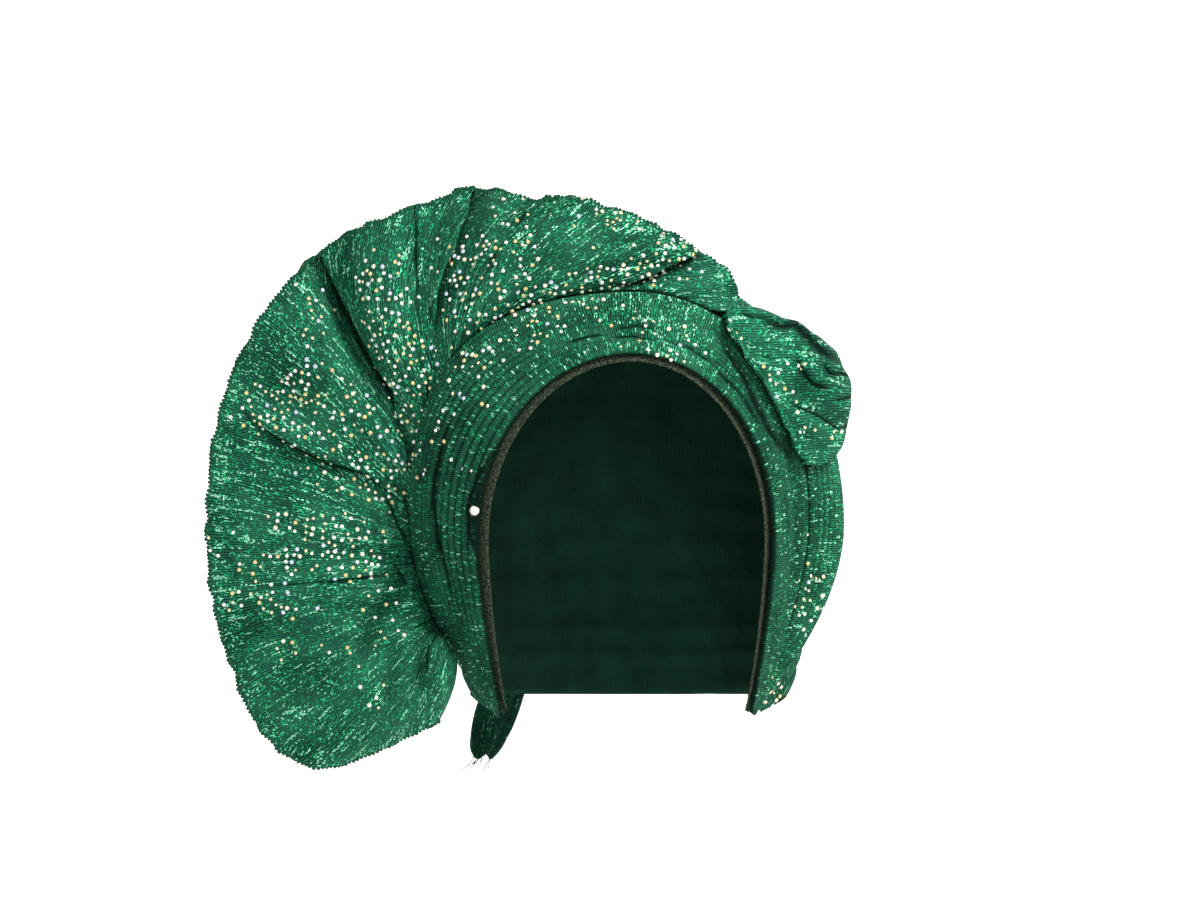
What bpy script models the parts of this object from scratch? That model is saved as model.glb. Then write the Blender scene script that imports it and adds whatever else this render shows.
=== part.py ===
"""A tied gele head tie: one ribbed cloth wrapped twice round the head, pleated into a band over the
brow, spread into a tall fan on one side, and folded into a rosette on the other.

Metres. +Z is up and the wearer faces -Y. The origin is where the top of the head meets the wrap.
"""

import math

import bmesh
import bpy
import numpy as np
from mathutils import Vector
from mathutils.bvhtree import BVHTree

# The covered head that the cloth is tied round
HEAD_WIDTH = 0.184
HEAD_DEPTH = 0.192
HEAD_HEIGHT = 0.190

# The cloth, as thick as its folded layers
WRAP_WALL = 0.0016
WRAP_RIB = 0.0012
BAND_WALL = 0.0015
PLEAT_DEPTH = 0.0025
EDGE_WALL = 0.0010
FAN_WALL = 0.0018
ROSETTE_WALL = 0.0020
SEAT_GAP = 0.0004

# The fan, the rosette, the knot and its tail
FAN_REACH = 0.095
FAN_DEPTH = 0.060
RUFFLE_DEPTH = 0.0016
ROSETTE_WIDTH = 0.061
ROSETTE_HEIGHT = 0.066
ROSETTE_PUFF = 0.020
HEM_LIFT = 0.0045
HEM_DEPTH = 0.0036
KNOT_WIDTH = 0.034
KNOT_HEIGHT = 0.022
KNOT_DEPTH = 0.018
TAIL_LENGTH = 0.044
TAIL_WIDTH = 0.017
TAIL_THICKNESS = 0.011

# The pearl-headed pin
PEARL_DIAMETER = 0.0042
PIN_DIAMETER = 0.0009
PIN_LENGTH = 0.0115
PIN_CLEARANCE = 0.00035

# Where the pin and the knot are: shares of an arch, and of half of HEAD_WIDTH and of HEAD_HEIGHT
PIN_STATION = 0.024
PIN_TURN = -0.62
KNOT_SIDE = -0.56
KNOT_DROP = 0.845
TAIL_SWING = 0.016

# How many of what repeats
PLEATS = 9
WRAP_RIBS = 16
RIB_SPREAD = 1.5
RUFFLES = 20
ARCH_COLUMNS = 28
FAN_COLUMNS = 80
FAN_ROWS = 9
ROSETTE_COLUMNS = 36

# Where each piece runs across the head form, from 0 at the face edge to 1 at the nape
EDGE_START, EDGE_END = 0.0, 0.046
BAND_START, BAND_END = 0.030, 0.250
WRAP_START, WRAP_END = 0.200, 1.0
FAN_ROOT = 0.275

# Each arch runs over the head from one jaw to the other. HIP_TURN is where it is widest, as a share
# of the way from its top to its foot.
HIP_TURN = 0.70
FOOT_TAPER = 0.28
RIGHT_SHOULDER = 0.3

# Rows of the head form, front to back. Backs are shares of HEAD_DEPTH, drops of HEAD_HEIGHT, and
# widths of half of HEAD_WIDTH. shoulder squares the arch between its top and its widest part, by
# RIGHT_SHOULDER of itself on the right, where the rosette lies.
ARCH_COLUMN_NAMES = (
    "station", "top_back", "top_drop", "hip_back", "hip_drop", "foot_back", "foot_drop",
    "left", "right", "left_foot", "right_foot", "shoulder",
)
ARCHES = (
    # face edge
    (0.00, -0.458, 0.215, -0.300, 0.610, -0.135, 0.995, 0.655, 0.600, 0.570, 0.520, 0.00),
    # middle of the brow band
    (0.10, -0.410, 0.160, -0.240, 0.590, -0.090, 1.000, 0.830, 0.660, 0.580, 0.530, 0.08),
    # outer edge of the brow band
    (0.20, -0.352, 0.105, -0.172, 0.580, -0.045, 1.005, 0.945, 0.715, 0.590, 0.540, 0.17),
    # hairline
    (0.32, -0.240, 0.042, -0.105, 0.570, -0.010, 1.005, 1.000, 0.860, 0.600, 0.550, 0.20),
    # crown
    (0.45, -0.030, 0.000, -0.030, 0.570, 0.010, 1.005, 1.000, 0.970, 0.610, 0.560, 0.18),
    # behind the crown
    (0.58, 0.250, 0.075, 0.050, 0.580, 0.030, 1.005, 1.000, 0.985, 0.620, 0.570, 0.12),
    # back of the head
    (0.71, 0.460, 0.305, 0.135, 0.610, 0.050, 1.005, 0.980, 0.970, 0.630, 0.580, 0.06),
    # top of the neck
    (0.84, 0.530, 0.620, 0.190, 0.705, 0.075, 1.005, 0.910, 0.900, 0.640, 0.600, 0.00),
    # nape rim
    (1.00, 0.440, 0.990, 0.210, 0.980, 0.110, 1.010, 0.755, 0.745, 0.650, 0.620, 0.00),
)

# The middle of the face opening, seen from the front, as a share of HEAD_HEIGHT. The fan's angles
# are measured round it, clockwise from straight up.
FACE_MIDDLE = 0.568

# Ribs of the fan, from its free end by the jaw, round the left, to the rosette. root is the turn on
# the wrap where the rib starts. Angles are degrees, reaches are shares of FAN_REACH beyond the brow
# band, and fronts are shares of FAN_DEPTH in front of the head's middle.
FAN_COLUMN_NAMES = (
    "station", "root", "knee_angle", "knee_reach", "knee_front", "tip_angle", "tip_reach", "tip_front",
)
FAN_RIBS = (
    # free end beside the jaw
    (0.000, -0.875, -130.0, 0.02, 0.40, -136.0, 0.225, 0.30),
    # right of the low corner
    (0.045, -0.870, -128.0, 0.12, 0.62, -133.2, 0.43, 0.42),
    # low corner
    (0.100, -0.862, -124.7, 0.26, 0.76, -128.7, 0.765, 0.55),
    # left of the low corner
    (0.160, -0.850, -117.5, 0.34, 0.74, -121.0, 0.925, 0.48),
    # lowest part of the side
    (0.225, -0.820, -108.4, 0.37, 0.58, -109.3, 0.955, 0.34),
    # middle of the side
    (0.325, -0.750, -93.6, 0.44, 0.62, -91.3, 0.945, 0.46),
    # long crease on the side
    (0.410, -0.680, -77.0, 0.44, 0.48, -73.8, 0.935, 0.30),
    # upper side
    (0.480, -0.590, -63.1, 0.44, 0.60, -59.2, 0.86, 0.46),
    # deep crease at the upper left
    (0.550, -0.520, -55.6, 0.42, 0.42, -46.9, 0.78, 0.26),
    # gore with the densest stones
    (0.590, -0.470, -52.3, 0.38, 0.70, -40.0, 0.70, 0.58),
    # before the second deep crease
    (0.640, -0.400, -43.1, 0.34, 0.68, -31.4, 0.64, 0.52),
    # second deep crease
    (0.675, -0.370, -39.1, 0.37, 0.56, -26.3, 0.635, 0.34),
    # notch in the rim
    (0.740, -0.330, -30.3, 0.30, 0.82, -16.7, 0.485, 0.62),
    # top gore
    (0.790, -0.310, -27.2, 0.26, 0.82, -12.0, 0.48, 0.54),
    # long soft valley
    (0.865, -0.240, -12.7, 0.17, 0.93, 1.7, 0.35, 0.74),
    # last gore
    (0.930, -0.075, 2.6, 0.12, 0.97, 14.0, 0.25, 0.74),
    # its outer corner
    (0.970, 0.060, 15.0, 0.10, 0.95, 22.4, 0.205, 0.70),
    # end under the rosette
    (1.000, 0.165, 22.5, 0.04, 0.92, 27.7, 0.090, 0.66),
)

# Creases of the fan: one side of each lies over the other. over is +1 where the side nearer the
# rosette lies on top. Depths and widths are shares of FAN_DEPTH and of the fan's whole run.
CREASE_COLUMN_NAMES = ("station", "over", "depth", "width", "from_share", "to_share")
CREASES = (
    # under the lobe by the jaw
    (0.192, -1, 0.10, 0.030, 0.05, 0.80),
    # short crease on the side
    (0.290, 1, 0.05, 0.022, 0.10, 0.75),
    # long crease on the side
    (0.410, 1, 0.08, 0.025, 0.05, 0.95),
    # deep crease at the upper left
    (0.550, 1, 0.15, 0.026, 0.05, 1.30),
    # fold at the rim
    (0.622, 1, 0.06, 0.020, 0.45, 1.40),
    # second deep crease
    (0.675, -1, 0.13, 0.024, 0.05, 1.30),
    # notch in the rim
    (0.745, 1, 0.09, 0.024, 0.40, 1.40),
    # long soft valley
    (0.852, -1, 0.07, 0.026, 0.05, 1.20),
    # edge of the last gore
    (0.915, 1, 0.08, 0.024, 0.05, 1.20),
)

# Outline of the rosette from the front, clockwise from straight up round its middle. Reaches are
# shares of half of ROSETTE_HEIGHT upright and of half of ROSETTE_WIDTH across. skirt is 1 where the
# cloth turns back down to the wrap and 0 along the free hem.
ROSETTE_COLUMN_NAMES = ("angle", "reach", "skirt")
ROSETTE_OUTLINE = (
    (-178.0, 1.06, 0.0),
    (-160.0, 0.80, 0.0),
    (-135.0, 0.64, 0.0),
    (-110.0, 0.62, 0.0),
    (-84.0, 0.74, 0.0),
    (-65.0, 1.00, 0.0),
    (-54.0, 1.28, 0.2),
    (-42.0, 1.30, 0.8),
    (-16.0, 0.98, 1.0),
    (12.0, 0.80, 1.0),
    (40.0, 0.76, 1.0),
    (68.0, 0.80, 1.0),
    (92.0, 0.86, 1.0),
    (126.0, 0.98, 1.0),
    (147.0, 1.12, 0.9),
    (165.0, 1.08, 0.3),
)
ROSETTE_SIDE = 0.745
ROSETTE_DROP = 0.262
ROSETTE_OUTWARD = (0.446, -0.862, 0.240)
ROSETTE_LEAN = 0.45
ROSETTE_TILT = -0.25
ROSETTE_RINGS = (0.12, 0.32, 0.52, 0.70, 0.85, 0.95, 1.0)

# Pockets and folds of the rosette. Places are shares of its half sizes, right and up.
POCKET_COLUMN_NAMES = ("right", "up", "run_right", "run_up", "depth", "width")
POCKETS = (
    (0.15, -0.02, 0.55, -0.36, -0.26, 0.20),
    (0.60, 0.16, 0.45, -0.04, -0.24, 0.16),
    (-0.15, -0.45, 0.62, -0.30, -0.22, 0.16),
    (-0.55, 0.72, 0.90, -0.22, -0.24, 0.14),
    (-0.20, 0.30, 0.70, 0.02, 0.18, 0.24),
    (0.20, -0.42, 0.45, 0.05, 0.16, 0.20),
)

MATERIALS = {
    # name: colour, roughness, metallic
    "ribbed_cloth": ((0.016, 0.145, 0.070), 0.55, 0.25),
    "sheer_edge": ((0.035, 0.045, 0.022), 0.70, 0.0),
    "pearl": ((0.78, 0.74, 0.66), 0.25, 0.0),
}


def smooth_columns(names, rows, at):
    """Each named column of a table, on a smooth curve through its rows, at the given stations."""
    table = np.array(rows, float)
    station = table[:, 0]
    values = table[:, 1:]
    slopes = np.gradient(values, station, axis=0)
    at = np.clip(np.asarray(at, float), station[0], station[-1])
    row = np.clip(np.searchsorted(station, at, side="right") - 1, 0, len(station) - 2)
    step = station[row + 1] - station[row]
    q = ((at - station[row]) / step)[..., None]
    step = step[..., None]
    found = (
        (2 * q**3 - 3 * q**2 + 1) * values[row]
        + (q**3 - 2 * q**2 + q) * step * slopes[row]
        + (3 * q**2 - 2 * q**3) * values[row + 1]
        + (q**3 - q**2) * step * slopes[row + 1]
    )
    return {name: found[..., i] for i, name in enumerate(names[1:])}


def head_form(station, turn):
    """Points of the covered head. turn runs from -1 at the left jaw, over the top, to 1 at the right."""
    station, turn = np.broadcast_arrays(np.asarray(station, float), np.asarray(turn, float))
    row = smooth_columns(ARCH_COLUMN_NAMES, ARCHES, station)
    half = HEAD_WIDTH / 2
    wide = np.where(turn < 0, row["left"], row["right"]) * half
    foot_wide = np.where(turn < 0, row["left_foot"], row["right_foot"]) * half
    top = np.stack([row["top_back"] * HEAD_DEPTH, -row["top_drop"] * HEAD_HEIGHT], -1)
    hip = np.stack([row["hip_back"] * HEAD_DEPTH, -row["hip_drop"] * HEAD_HEIGHT], -1)
    foot = np.stack([row["foot_back"] * HEAD_DEPTH, -row["foot_drop"] * HEAD_HEIGHT], -1)
    share = np.abs(turn)
    swing = np.clip(share / HIP_TURN, 0, 1) * math.pi / 2
    over = hip + (top - hip) * np.cos(swing)[..., None]
    shoulder = row["shoulder"] * np.where(turn < 0, 1, RIGHT_SHOULDER)
    out = wide * np.sin(swing + shoulder * np.sin(2 * swing))
    q = np.clip((share - HIP_TURN) / (1 - HIP_TURN), 0, 1)[..., None]
    leave = (hip - top) * (math.pi / 2) * (1 - HIP_TURN) / HIP_TURN
    arrive = foot - hip
    under = (
        (2 * q**3 - 3 * q**2 + 1) * hip
        + (q**3 - 2 * q**2 + q) * leave
        + (3 * q**2 - 2 * q**3) * foot
        + (q**3 - q**2) * arrive
    )
    below = share > HIP_TURN
    along = np.where(below[..., None], under, over)
    out = np.where(below, wide + (foot_wide - wide) * q[..., 0] ** 2, out)
    return np.stack([out * np.sign(turn), along[..., 0], along[..., 1]], -1)


def head_normal(station, turn):
    """Outward direction of the covered head."""
    small = 1e-4
    a_low, a_high = np.clip(station - small, 0, 1), np.clip(station + small, 0, 1)
    t_low, t_high = np.clip(turn - small, -1, 1), np.clip(turn + small, -1, 1)
    across = head_form(a_high, turn) - head_form(a_low, turn)
    along = head_form(station, t_high) - head_form(station, t_low)
    normal = np.cross(along, across)
    return normal / np.maximum(np.linalg.norm(normal, axis=-1, keepdims=True), 1e-12)


def on_head(station, turn, lift):
    """Points that stand off the covered head by lift."""
    station, turn, lift = np.broadcast_arrays(
        np.asarray(station, float), np.asarray(turn, float), np.asarray(lift, float)
    )
    return head_form(station, turn) + head_normal(station, turn) * lift[..., None]


def foot_fade(turn):
    """1 over the head, falling to FOOT_TAPER where the folds are drawn together at the jaw."""
    q = np.clip((np.abs(turn) - HIP_TURN) / (1 - HIP_TURN), 0, 1)
    return 1 - (1 - FOOT_TAPER) * q * q * (3 - 2 * q)


def folded_stations(start, end, folds, spread=1.0):
    """Stations at each fold's ridge and valley, and 1 at a ridge, 0 in a valley."""
    count = 2 * folds + 1
    return start + (end - start) * np.linspace(0, 1, count) ** spread, np.arange(count) % 2


def grid_normals(points):
    """Directions square to a grid of points."""
    down = np.gradient(points, axis=0)
    right = np.gradient(points, axis=1)
    normal = np.cross(down, right)
    return normal / np.maximum(np.linalg.norm(normal, axis=-1, keepdims=True), 1e-12)


def new_object(name, mesh_data, material):
    """A smooth shaded object with one of the named materials."""
    mesh = bpy.data.meshes.new(name)
    mesh_data.to_mesh(mesh)
    mesh_data.free()
    mesh.shade_smooth()
    mesh.set_sharp_from_angle(angle=math.radians(40))
    mesh.materials.append(material_named(material))
    made = bpy.data.objects.new(name, mesh)
    bpy.context.scene.collection.objects.link(made)
    return made


def material_named(name):
    found = bpy.data.materials.get(name)
    if found:
        return found
    colour, roughness, metallic = MATERIALS[name]
    made = bpy.data.materials.new(name)
    made.use_nodes = True
    shader = made.node_tree.nodes["Principled BSDF"]
    shader.inputs["Base Color"].default_value = (*colour, 1)
    shader.inputs["Roughness"].default_value = roughness
    shader.inputs["Metallic"].default_value = metallic
    return made


def sheet_between(name, outer, inner, material, ring=False):
    """A closed wall between two grids of points. With ring, each row is a loop round the first one's middle."""
    rows, columns = outer.shape[:2]
    body = bmesh.new()
    front = [[body.verts.new(p) for p in row] for row in outer]
    back = [[body.verts.new(p) for p in row] for row in inner]
    last = columns if ring else columns - 1
    for i in range(rows - 1):
        for j in range(last):
            k = (j + 1) % columns
            body.faces.new((front[i][j], front[i + 1][j], front[i + 1][k], front[i][k]))
            body.faces.new((back[i][j], back[i][k], back[i + 1][k], back[i + 1][j]))
    for i in (rows - 1,) if ring else (0, rows - 1):
        for j in range(last):
            k = (j + 1) % columns
            body.faces.new((front[i][j], front[i][k], back[i][k], back[i][j]))
    if ring:
        for side, points in ((front, outer), (back, inner)):
            middle = body.verts.new(points[0].mean(axis=0))
            for j in range(last):
                body.faces.new((middle, side[0][j], side[0][(j + 1) % columns]))
    else:
        for j in (0, columns - 1):
            for i in range(rows - 1):
                body.faces.new((front[i][j], front[i + 1][j], back[i + 1][j], back[i][j]))
    bmesh.ops.recalc_face_normals(body, faces=body.faces)
    return new_object(name, body, material)


def arch_turns():
    return np.linspace(-1, 1, ARCH_COLUMNS + 1)


def make_head_wrap():
    """The second turn of cloth, which covers the head in folds that meet at the jaw."""
    stations, ridge = folded_stations(WRAP_START, WRAP_END, WRAP_RIBS, RIB_SPREAD)
    turn = arch_turns()[None, :]
    lift = WRAP_RIB * ridge[:, None] * foot_fade(turn)
    stations = stations[:, None]
    outer = on_head(stations, turn, WRAP_WALL + lift)
    inner = on_head(stations, turn, lift)
    sheet_between("head_wrap", outer, inner, "ribbed_cloth")
    return tree_of(outer)


def band_floor():
    """How far the brow band's underside stands off the head: clear of the wrap's ridges."""
    return WRAP_WALL + WRAP_RIB + SEAT_GAP


def make_brow_band():
    """The first turn of cloth, pleated over the brow."""
    stations, ridge = folded_stations(BAND_START, BAND_END, PLEATS)
    turn = arch_turns()[None, :]
    lift = band_floor() + PLEAT_DEPTH * ridge[:, None] * foot_fade(turn)
    stations = stations[:, None]
    outer = on_head(stations, turn, BAND_WALL + lift)
    inner = on_head(stations, turn, lift)
    sheet_between("brow_band", outer, inner, "ribbed_cloth")
    return tree_of(outer)


def make_sheer_edge():
    """The cloth's sheer edge, which lies on the skin inside the first pleat."""
    stations = np.array([EDGE_START, (EDGE_START + EDGE_END) / 2, EDGE_END])[:, None]
    turn = arch_turns()[None, :]
    top = band_floor() - SEAT_GAP
    outer = on_head(stations, turn, top)
    inner = on_head(stations, turn, top - EDGE_WALL)
    return sheet_between("sheer_edge", outer, inner, "sheer_edge")


def tree_of(points):
    """A search tree of the faces between a grid of points, which face out."""
    rows, columns = points.shape[:2]
    faces = [
        (i * columns + j, i * columns + j + 1, (i + 1) * columns + j + 1, (i + 1) * columns + j)
        for i in range(rows - 1)
        for j in range(columns - 1)
    ]
    return BVHTree.FromPolygons([Vector(p) for p in points.reshape(-1, 3)], faces)


def lifted_off(points, trees, clearance):
    """Points moved out until they stand clear of the surfaces right below them."""
    flat = points.reshape(-1, 3).copy()
    for tree in trees * 2:
        for i, p in enumerate(flat):
            place, normal, _, _ = tree.find_nearest(Vector(p))
            offset = Vector(p) - place
            height = offset.dot(normal)
            beside = (offset - normal * height).length
            if height < clearance and beside < clearance:
                flat[i] = np.array(Vector(p) + normal * (clearance - height))
    return flat.reshape(points.shape)


def brow_radius(angle):
    """How far the brow band's outer edge is from the middle of the face, seen from the front."""
    turn = np.linspace(-1, 1, 241)
    edge = on_head(BAND_END, turn, band_floor() + BAND_WALL)
    across, up = edge[:, 0], edge[:, 2] + FACE_MIDDLE * HEAD_HEIGHT
    return np.interp(angle, np.degrees(np.arctan2(across, up)), np.hypot(across, up))


def fan_place(angle, reach, front):
    """A point of the fan, from its angle round the face, its reach past the brow band and its depth."""
    radius = brow_radius(angle) + reach * FAN_REACH
    turn = np.radians(angle)
    return np.stack(
        [
            radius * np.sin(turn),
            -front * FAN_DEPTH,
            radius * np.cos(turn) - FACE_MIDDLE * HEAD_HEIGHT,
        ],
        -1,
    )


def crease_depth(station, share):
    """How far the fan's cloth stands forward at each crease: one lip up, the other down."""
    forward = np.zeros(np.broadcast(station, share).shape)
    for values in CREASES:
        row = dict(zip(CREASE_COLUMN_NAMES, values))
        q = (station - row["station"]) / row["width"]
        lip = np.tanh(4 * q) * np.exp(-np.abs(q))
        start = np.clip((share - row["from_share"]) / 0.3, 0, 1)
        end = np.clip((row["to_share"] - share) / 0.3, 0, 1)
        forward = forward + row["over"] * row["depth"] * lip * np.minimum(start, end)
    return forward * FAN_DEPTH


def fan_middle(station, share):
    """The middle of the fan's cloth. share runs from 0 at the root to 1 at the rim."""
    station, share = np.broadcast_arrays(station, share)
    row = smooth_columns(FAN_COLUMN_NAMES, FAN_RIBS, station)
    stand = WRAP_WALL + WRAP_RIB + 1.5 * SEAT_GAP + FAN_WALL / 2
    root = on_head(FAN_ROOT, row["root"], stand)
    knee = fan_place(row["knee_angle"], row["knee_reach"], row["knee_front"])
    tip = fan_place(row["tip_angle"], row["tip_reach"], row["tip_front"])
    control = 2 * knee - (root + tip) / 2
    v = share[..., None]
    middle = (1 - v) ** 2 * root + 2 * v * (1 - v) * control + v**2 * tip
    fade = np.clip(share / 0.25, 0, 1)
    ruffle = RUFFLE_DEPTH * np.sin(2 * math.pi * RUFFLES * station) * share**2
    middle[..., 1] -= crease_depth(station, share) * fade + ruffle
    return middle


def make_fan(wrap, band):
    """The upper part of the cloth, spread from the brow band's outer edge into a ruffled fan."""
    station = np.linspace(0, 1, FAN_COLUMNS + 1)[None, :]
    share = np.linspace(0, 1, FAN_ROWS + 1)[:, None] ** 1.25
    middle = fan_middle(station, share)
    clearance = SEAT_GAP + 1.5 * FAN_WALL
    middle[1:] = lifted_off(middle[1:], [wrap, band], clearance)
    half = grid_normals(middle) * FAN_WALL / 2
    sheet_between("fan", middle - half, middle + half, "ribbed_cloth")
    return tree_of(middle - half)


def met_along(point, trees, outward):
    """How far out along a direction the outermost surface below a point is, or None."""
    outward = Vector(outward)
    far = 2 * HEAD_DEPTH
    start = Vector(point) + outward * (far - Vector(point).dot(outward))
    hits = [tree.ray_cast(start, -outward, 2 * far)[3] for tree in trees]
    hits = [far - hit for hit in hits if hit is not None]
    return max(hits) if hits else None


def raised_clear(points, trees, outward, clearance):
    """Points moved along outward until they stand clear of all that is below them."""
    flat = points.reshape(-1, 3).copy()
    outward = np.array(outward, float)
    for i, p in enumerate(flat):
        met = met_along(p, trees, outward)
        if met is not None:
            flat[i] = p + outward * max(0.0, met + clearance - p @ outward)
    return flat.reshape(points.shape)


def pocket_relief(across, above):
    """How far the rosette's cloth stands out of its even puff, as a share of ROSETTE_PUFF."""
    relief = np.zeros_like(across)
    for values in POCKETS:
        row = dict(zip(POCKET_COLUMN_NAMES, values))
        from_right, from_up = across - row["right"], above - row["up"]
        length = math.hypot(row["run_right"], row["run_up"])
        along = (from_right * row["run_right"] + from_up * row["run_up"]) / length**2
        along = np.clip(along, 0, 1)
        off = np.hypot(from_right - along * row["run_right"], from_up - along * row["run_up"])
        relief += row["depth"] * np.exp(-((off / row["width"]) ** 2))
    return relief


def make_rosette(wrap, band, fan):
    """The cloth's other end, folded into a puffed rosette over the right of the brow band."""
    angles = np.linspace(-180, 180, ROSETTE_COLUMNS, endpoint=False)
    first, last = ROSETTE_OUTLINE[0], ROSETTE_OUTLINE[-1]
    outline = ((last[0] - 360, *last[1:]), *ROSETTE_OUTLINE, (first[0] + 360, *first[1:]))
    row = smooth_columns(ROSETTE_COLUMN_NAMES, outline, angles)
    right = row["reach"] * np.sin(np.radians(angles))
    up = row["reach"] * np.cos(np.radians(angles))
    skirt = np.clip(row["skirt"], 0, 1)[:, None]
    middle = np.array([ROSETTE_SIDE * HEAD_WIDTH / 2, 0, -ROSETTE_DROP * HEAD_HEIGHT])
    middle[1] = -met_along(middle, [wrap, band], (0, -1, 0))
    rings = []
    for share in ROSETTE_RINGS:
        across, above = right * share, up * share
        puff = (1 - share**2.4) ** 0.6 + pocket_relief(across, above) * (1 - share**4)
        x = across * ROSETTE_WIDTH / 2
        z = above * ROSETTE_HEIGHT / 2
        y = ROSETTE_LEAN * x + ROSETTE_TILT * z - HEM_LIFT - puff * ROSETTE_PUFF
        rings.append(middle + np.stack([x, y, z], -1))
    clearance = 2 * SEAT_GAP + 1.2 * ROSETTE_WALL
    below = [wrap, band, fan]
    rings = raised_clear(np.array(rings), below, ROSETTE_OUTWARD, clearance + HEM_DEPTH)
    rim = rings[-1]
    back = np.array([0.0, 1.0, 0.0])
    inward = (rim.mean(axis=0) - rim) * 0.10 * (1 - skirt)
    under = [
        rim + back * (HEM_DEPTH * 0.6 + 0.35 * ROSETTE_PUFF * skirt) + inward * 0.2,
        rim + back * (HEM_DEPTH + 0.80 * ROSETTE_PUFF * skirt) + inward,
    ]
    under = raised_clear(np.array(under), below, ROSETTE_OUTWARD, clearance)
    grid = np.concatenate([rings, under])
    half = ring_normals(grid) * ROSETTE_WALL / 2
    return sheet_between("rosette", grid + half, grid - half, "ribbed_cloth", ring=True)


def ring_normals(points):
    """Directions square to a grid whose rows are closed rings."""
    down = np.gradient(points, axis=0)
    right = np.roll(points, -1, axis=1) - np.roll(points, 1, axis=1)
    normal = np.cross(right, down)
    return normal / np.maximum(np.linalg.norm(normal, axis=-1, keepdims=True), 1e-12)


def lump(name, rings, material):
    """A closed lump through rings of points, with its ends drawn to a point."""
    body = bmesh.new()
    loops = [[body.verts.new(p) for p in ring] for ring in rings]
    count = len(loops[0])
    for low, high in zip(loops, loops[1:]):
        for j in range(count):
            k = (j + 1) % count
            body.faces.new((low[j], low[k], high[k], high[j]))
    for ring, points in ((loops[0], rings[0]), (loops[-1], rings[-1])):
        end = body.verts.new(np.mean(points, axis=0))
        for j in range(count):
            body.faces.new((end, ring[j], ring[(j + 1) % count]))
    bmesh.ops.recalc_face_normals(body, faces=body.faces)
    return new_object(name, body, material)


def knot_middle(wrap):
    """Where the knot sits: against the wrap, behind the left of the neck."""
    place = np.array([KNOT_SIDE * HEAD_WIDTH / 2, 0, -KNOT_DROP * HEAD_HEIGHT])
    place[1] = met_along(place, [wrap], (0, 1, 0)) + KNOT_DEPTH * 0.62
    return place


def make_knot(wrap):
    """The hidden knot behind the neck, where the two ends are tied."""
    around = np.linspace(0, 2 * math.pi, 24, endpoint=False)
    rings = []
    for tilt in np.radians(np.linspace(-80, 80, 9)):
        wide = math.cos(tilt) * (1 + 0.08 * np.cos(4 * around))
        x = np.full_like(around, math.sin(tilt) * KNOT_WIDTH / 2)
        y = wide * np.cos(around) * KNOT_DEPTH / 2
        z = wide * np.sin(around) * KNOT_HEIGHT / 2
        rings.append(knot_middle(wrap) + np.stack([x, y, z], -1))
    rings = raised_clear(np.array(rings), [wrap], (0, 1, 0), 2 * SEAT_GAP)
    lump("nape_knot", rings, "ribbed_cloth")
    return rings[..., 2].min()


def make_tail(wrap, knot_bottom):
    """The cloth's tied end, which hangs below the knot and shows under the left of the jaw."""
    around = np.linspace(0, 2 * math.pi, 20, endpoint=False)
    top = knot_middle(wrap)
    rings = []
    for share in np.linspace(0, 1, 8):
        swell = 0.45 + 0.55 * math.sin(math.pi * min(share * 1.25, 1) ** 0.8 / 1.35)
        if share > 0.85:
            swell *= 1 - 2.6 * (share - 0.85)
        fold = 1 + 0.16 * np.cos(5 * around)
        x = top[0] - TAIL_SWING * share**0.8 + np.cos(around) * fold * swell * TAIL_WIDTH / 2
        y = top[1] - 0.010 * share**2 + np.sin(around) * fold * swell * TAIL_THICKNESS / 2
        z = np.full_like(around, knot_bottom - SEAT_GAP - TAIL_LENGTH * share)
        rings.append(np.stack([x, y, z], -1))
    rings = raised_clear(np.array(rings), [wrap], (0, 1, 0), 4 * SEAT_GAP)
    return lump("tie_tail", rings, "ribbed_cloth")


def make_pearl_pin():
    """A pearl-headed pin beside the band's hem, whose shank lies over the sheer edge."""
    head_lift = band_floor() + BAND_WALL + PEARL_DIAMETER / 2
    shank_lift = band_floor() - SEAT_GAP + PIN_CLEARANCE + PIN_DIAMETER / 2
    head = on_head(PIN_STATION, PIN_TURN, head_lift)
    small = 0.01
    pace = np.linalg.norm(on_head(PIN_STATION, PIN_TURN - small, head_lift) - head)
    foot = on_head(PIN_STATION, PIN_TURN - small * PIN_LENGTH / pace, shank_lift)
    axis = Vector(foot - head).normalized()
    side = axis.orthogonal().normalized()
    other = axis.cross(side)
    ball = PEARL_DIAMETER / 2
    profile = [(-ball * math.cos(t), ball * math.sin(t)) for t in np.radians(np.linspace(25, 145, 7))]
    profile += [(PIN_LENGTH * 0.96, PIN_DIAMETER / 2)]
    rings = []
    for along, radius in [*profile, (PIN_LENGTH, PIN_DIAMETER * 0.1)]:
        middle = Vector(head) + axis * along
        ring = [
            middle + (side * math.cos(t) + other * math.sin(t)) * radius
            for t in np.linspace(0, 2 * math.pi, 12, endpoint=False)
        ]
        rings.append(np.array(ring))
    return lump("pearl_pin", np.array(rings), "pearl")


def main():
    for old in list(bpy.data.objects):
        bpy.data.objects.remove(old)
    wrap = make_head_wrap()
    band = make_brow_band()
    make_sheer_edge()
    fan = make_fan(wrap, band)
    make_rosette(wrap, band, fan)
    make_tail(wrap, make_knot(wrap))
    make_pearl_pin()


main()
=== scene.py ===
# %% [markdown]
# # A tied gele head tie
#
# A gele is one long stiff cloth, woven with fine ribs and metallic threads, and tied by hand. It
# is wrapped round the head, pleated over the brow, spread into a fan and tucked into a rosette.
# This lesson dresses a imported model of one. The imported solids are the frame: every cloth here is
# worked out again from the same sizes, much finer, and hides the plain solid that it stands for.

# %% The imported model
import math

import bmesh
import bpy
import numpy as np
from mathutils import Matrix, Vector
from mathutils.bvhtree import BVHTree


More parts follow.
